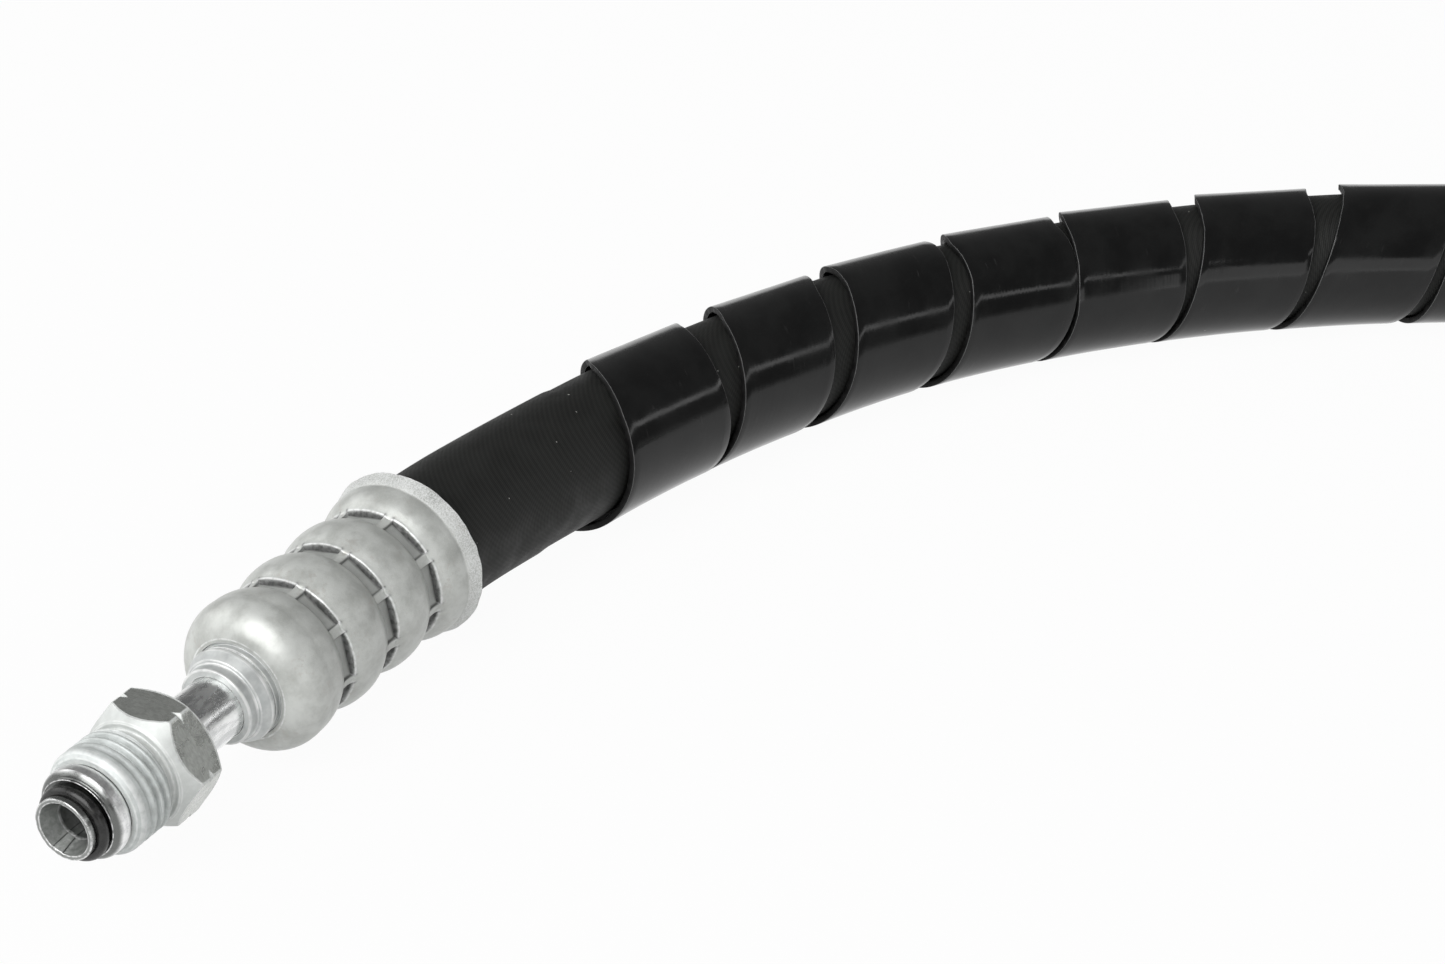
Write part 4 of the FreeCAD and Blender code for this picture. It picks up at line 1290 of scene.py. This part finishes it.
# %% Rubber of the cover
def cover_rubber():
    """Matt black rubber with the print of a cloth wrapping, and lint."""
    f = Finish("cover_rubber", Specular_IOR_Level=0.30)
    place = f.mark("wound", vector=True)
    waves_across = {"Vector": f.stretched(place, (1.0, 0.02, 0.02)), "Scale": 0.95, "Distortion": 0.6,
                    "Detail": 1.0}
    lines = f.add("ShaderNodeTexWave", waves_across, bands_direction="X").outputs["Fac"]
    slanted = f.add("ShaderNodeTexWave", {"Vector": place, "Scale": 0.62, "Distortion": 0.5},
                    bands_direction="DIAGONAL").outputs["Fac"]
    blotch = f.effect("mottle", place, scale=0.22, detail=5.0)
    colour = f.mix(blotch, (0.0022, 0.0024, 0.0021), (0.0060, 0.0064, 0.0058))
    weave = f.times(f.plus(lines, f.times(slanted, 0.6)), 0.45)
    colour = f.mix(weave, colour, (0.0240, 0.0248, 0.0230))
    lint = f.effect("specks", f.stretched(place, (1.0, 0.45, 1.0)), scale=0.50, share=0.36, size=0.045)
    colour = f.mix(lint, colour, (0.42, 0.42, 0.40))
    f.bump(f.plus(weave, f.times(lint, 2.0)), 0.5, 0.00008)
    return f.done(Base_Color=colour, Roughness=f.span(blotch, 0.52, 0.68))


cover_finish = cover_rubber()

# %% [markdown]
# ## Wire of the braid
# The braids are inside the hose and never show, but they have their own finish. Two sets of waves
# slant in opposite ways round the hose, and the higher of the two is seen, as in a weave.

# %% Wire of the braid
def braid_wire():
    """Steel wires braided over and under each other."""
    f = Finish("braid_wire", Metallic=1.0)
    place = f.mark("wound", vector=True)
    parts = f.add("ShaderNodeSeparateXYZ", {0: place}).outputs
    turn = f.times(f.work("ARCTAN2", parts["Z"], parts["Y"]), 7.0)
    sets = []
    for sign in (1.0, -1.0):
        flat = f.add("ShaderNodeCombineXYZ", {0: f.plus(parts["X"], f.times(turn, sign))}).outputs[0]
        wave = f.add("ShaderNodeTexWave", {"Vector": flat, "Scale": 0.75}, bands_direction="X")
        sets.append(wave.outputs["Fac"])
    weave = f.work("MAXIMUM", sets[0], sets[1])
    blotch = f.effect("mottle", place, scale=0.5)
    colour = f.mix(weave, (0.18, 0.17, 0.15), f.mix(blotch, (0.55, 0.52, 0.44), (0.68, 0.66, 0.60)))
    f.bump(weave, 0.8, 0.0002)
    return f.done(Base_Color=colour, Roughness=f.span(blotch, 0.28, 0.42))


wire = braid_wire()

# %% [markdown]
# ## Plastic of the guard
# The guard is glossy black plastic with faint lines along the strip, scuffs and lint. Its edges
# were cut and carry a thin pale burr, which starts just inside the strip's marked edge.

# %% Plastic of the guard
BURR_START, BURR_END = 10.14, 10.20


def guard_plastic():
    """Glossy black plastic with lines along the strip, scuffs, lint and a pale burr on its edges."""
    f = Finish("guard_plastic", Specular_IOR_Level=0.34)
    strip = f.mark("strip", vector=True)
    across = f.add("ShaderNodeSeparateXYZ", {0: strip}).outputs["Y"]
    lines = f.noise(f.stretched(strip, (0.02, 1.0, 0.0)), 2.4, 4.0)
    blotch = f.effect("mottle", strip, scale=0.12, detail=5.0)
    colour = f.mix(blotch, (0.0035, 0.0036, 0.0036), (0.0075, 0.0077, 0.0076))
    scuff = f.effect("scratches", f.stretched(strip, (1.0, 1.0, 0.0)), scale=1.6, share=0.18)
    colour = f.over(colour, scuff, 0.35, (0.06, 0.06, 0.06))
    ragged = f.plus(f.work("ABSOLUTE", across), f.times(f.noise(strip, 1.2), 0.22))
    burr = f.ramp(ragged, BURR_START, BURR_END)
    colour = f.over(colour, burr, 0.6, (0.13, 0.13, 0.13))
    lint = f.effect("specks", strip, scale=0.30, share=0.12, size=0.03)
    colour = f.mix(lint, colour, (0.35, 0.35, 0.34))
    rough = f.plus(f.span(blotch, 0.10, 0.19), f.times(burr, 0.3))
    f.bump(f.plus(lines, f.times(f.noise(strip, 0.35), 1.5)), 0.22, 0.00006)
    return f.done(Base_Color=colour, Roughness=rough)


black_plastic = guard_plastic()

# %% [markdown]
# ## Dress the fittings
# Each piece gets its finish, replaces its plain solid, and rides on the body that carries it. Only
# the two nuts move, so all the rest rides on the hose's body. One function does this for every
# piece, so none of the three can be forgotten.

# %% Dress the fittings
def dress(piece, material, slot, body, *nodes):
    """Material, solid and body of one piece. The slot argument is not used."""
    piece.data.materials.clear()
    piece.data.materials.append(material)
    if nodes:
        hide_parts(*nodes)
    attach(piece, body)


for end in "ab":
    dress(end_tubes[end], steel, "bright_tube", "hose_line", "end_tube_" + end)
    dress(o_rings[end], seal, "seal", "hose_line", "o_ring_" + end)
    dress(nuts[end], blue_zinc, "plated_steel", BODY[end], "tube_nut_" + end)
    dress(stems[end], bright_zinc, "plated_steel", "hose_line", "hose_stem_" + end)
    dress(ferrules[end], satin_zinc, "plated_steel", "hose_line", "ferrule_" + end)
    dress(cover_ends[end], rubber_inside, "hose_rubber", "hose_line")
fittings = (end_tubes, o_rings, nuts, stems, ferrules, cover_ends)
print("dressed:", sum(len(pieces) for pieces in fittings), "pieces of the fittings")

# %% [markdown]
# ## Dress the hose
# The guard is wound here, when its finish exists, and its cut edges get the second one. The guard
# and the layers ride on the hose's body. The two helper curves have done their work and are removed.

# %% Dress the hose
path_object = line_object("hose_path", whole_line)
guard = wind_guard(path_object, black_plastic)
for node, layer in layers.items():
    if node.endswith("braid"):
        dress(layer, wire, "steel_braid", "hose_line", node)
    else:
        dress(layer, rubber_inside, "hose_rubber", "hose_line", node)
dress(hose_cover, cover_finish, "hose_rubber", "hose_line", "cover")
# Solidify gave the wound face index 1 and its cut edges index 2. They become 0 and 1.
edge_faces = [polygon.material_index - 1 for polygon in guard.data.polygons]
dress(guard, black_plastic, "guard_plastic", "hose_line", "spiral_guard")
guard.data.materials.append(cut_plastic)
guard.data.polygons.foreach_set("material_index", edge_faces)
for helper in (path_object, route_curve):
    data = helper.data
    bpy.data.objects.remove(helper)
    bpy.data.curves.remove(data)
print("layers:", len(layers), "cut edge faces:", sum(edge_faces))

# %% [markdown]
# ## The floor
# The object was photographed on a white sheet. The floor shows white to the camera and in
# reflections through Light Path, and keeps a small part of its own shade, so the object's shadow
# stays. A plain white floor would have to be lit too brightly to come out as white.

# %% Floor
# The object lies on this height, in metres: its ferrules' lips touch the floor.
FLOOR_HEIGHT = -0.0132
WHITE_SHARE = 0.96


def pale_floor(height):
    """A wide floor just under the object."""
    mesh = bpy.data.meshes.new("floor")
    corners = [(-3, -3, height), (3, -3, height), (3, 3, height), (-3, 3, height)]
    mesh.from_pydata(corners, [], [(0, 1, 2, 3)])
    floor = bpy.data.objects.new("floor", mesh)
    bpy.context.scene.collection.objects.link(floor)
    f = Finish("floor_white", Base_Color=(0.60, 0.60, 0.60, 1.0), Roughness=0.9, Specular_IOR_Level=0.1)
    path = f.add("ShaderNodeLightPath").outputs
    reflected = f.work("MAXIMUM", path["Is Glossy Ray"], path["Is Transmission Ray"])
    seen = f.work("MAXIMUM", path["Is Camera Ray"], reflected)
    white = f.add("ShaderNodeEmission", {"Color": (1.0, 1.0, 1.0, 1.0), "Strength": 1.0}).outputs[0]
    mixed = f.add("ShaderNodeMixShader", {0: f.times(seen, WHITE_SHARE), 1: f.shader.outputs[0], 2: white})
    f.tree.links.new(mixed.outputs[0], f.tree.nodes["Material Output"].inputs["Surface"])
    mesh.materials.append(f.done())


pale_floor(FLOOR_HEIGHT)

# %% [markdown]
# ## The lamps
# The light in the photograph is soft and comes from the upper left. A wide softbox does most of
# it, a second lamp from the back left fills in, a long thin strip draws the streak along the
# guard, and a low panel gives the grey under it. A picture of a studio round the scene could do
# this too, but lamps can be moved one by one.

# %% Lamps
def soft_lamp(name, place, target, size, power):
    """Area lamp that looks at a target, with its first side as near as can be to X."""
    data = bpy.data.lights.new(name, "AREA")
    data.shape = "RECTANGLE"
    data.size, data.size_y = size
    data.energy = power
    lamp = bpy.data.objects.new(name, data)
    bpy.context.scene.collection.objects.link(lamp)
    back = (Vector(place) - Vector(target)).normalized()
    upper = back.cross(Vector((1.0, 0.0, 0.0))).normalized()
    turn = Matrix((upper.cross(back), upper, back)).transposed().to_4x4()
    lamp.matrix_world = Matrix.Translation(place) @ turn


# Each lamp: name, place, target, size and power in watts.
LAMPS = [
    ("softbox", (-0.95, 0.02, 1.05), (0.05, 0.0, 0.0), (1.4, 1.3), 25.5),
    ("back_left", (-0.30, 1.20, 0.62), (0.03, 0.0, 0.0), (1.4, 0.9), 6.5),
    ("strip", (0.62, -0.88, 0.45), (0.15, -0.03, 0.0), (1.9, 0.09), 1.2),
    ("low_panel", (-0.39, -0.88, 0.14), (0.24, -0.08, 0.0), (0.55, 0.42), 0.9),
]
for lamp in LAMPS:
    soft_lamp(*lamp)
print("lamps:", ", ".join(lamp[0] for lamp in LAMPS))

# %% [markdown]
# ## The world
# The room behind the lamps is a pale grey that gets darker above the horizon, so that metal has
# something to reflect. One even grey would make every bright piece look flat.

# %% World
LOW_GREY, HIGH_GREY, HORIZON = 0.55, 0.18, 0.10
world = bpy.data.worlds.new("studio")
bpy.context.scene.world = world
world.use_nodes = True
add = node_maker(world.node_tree)
height = add("ShaderNodeSeparateXYZ", {0: add("ShaderNodeTexCoord").outputs["Generated"]}).outputs["Z"]
shade = ramp(add, height, 0.0, HORIZON, LOW_GREY, HIGH_GREY)
back = world.node_tree.nodes["Background"]
world.node_tree.links.new(shade, back.inputs["Color"])
bpy.context.scene.view_settings.view_transform = "Standard"
print("world from", LOW_GREY, "to", HIGH_GREY)

# %% [markdown]
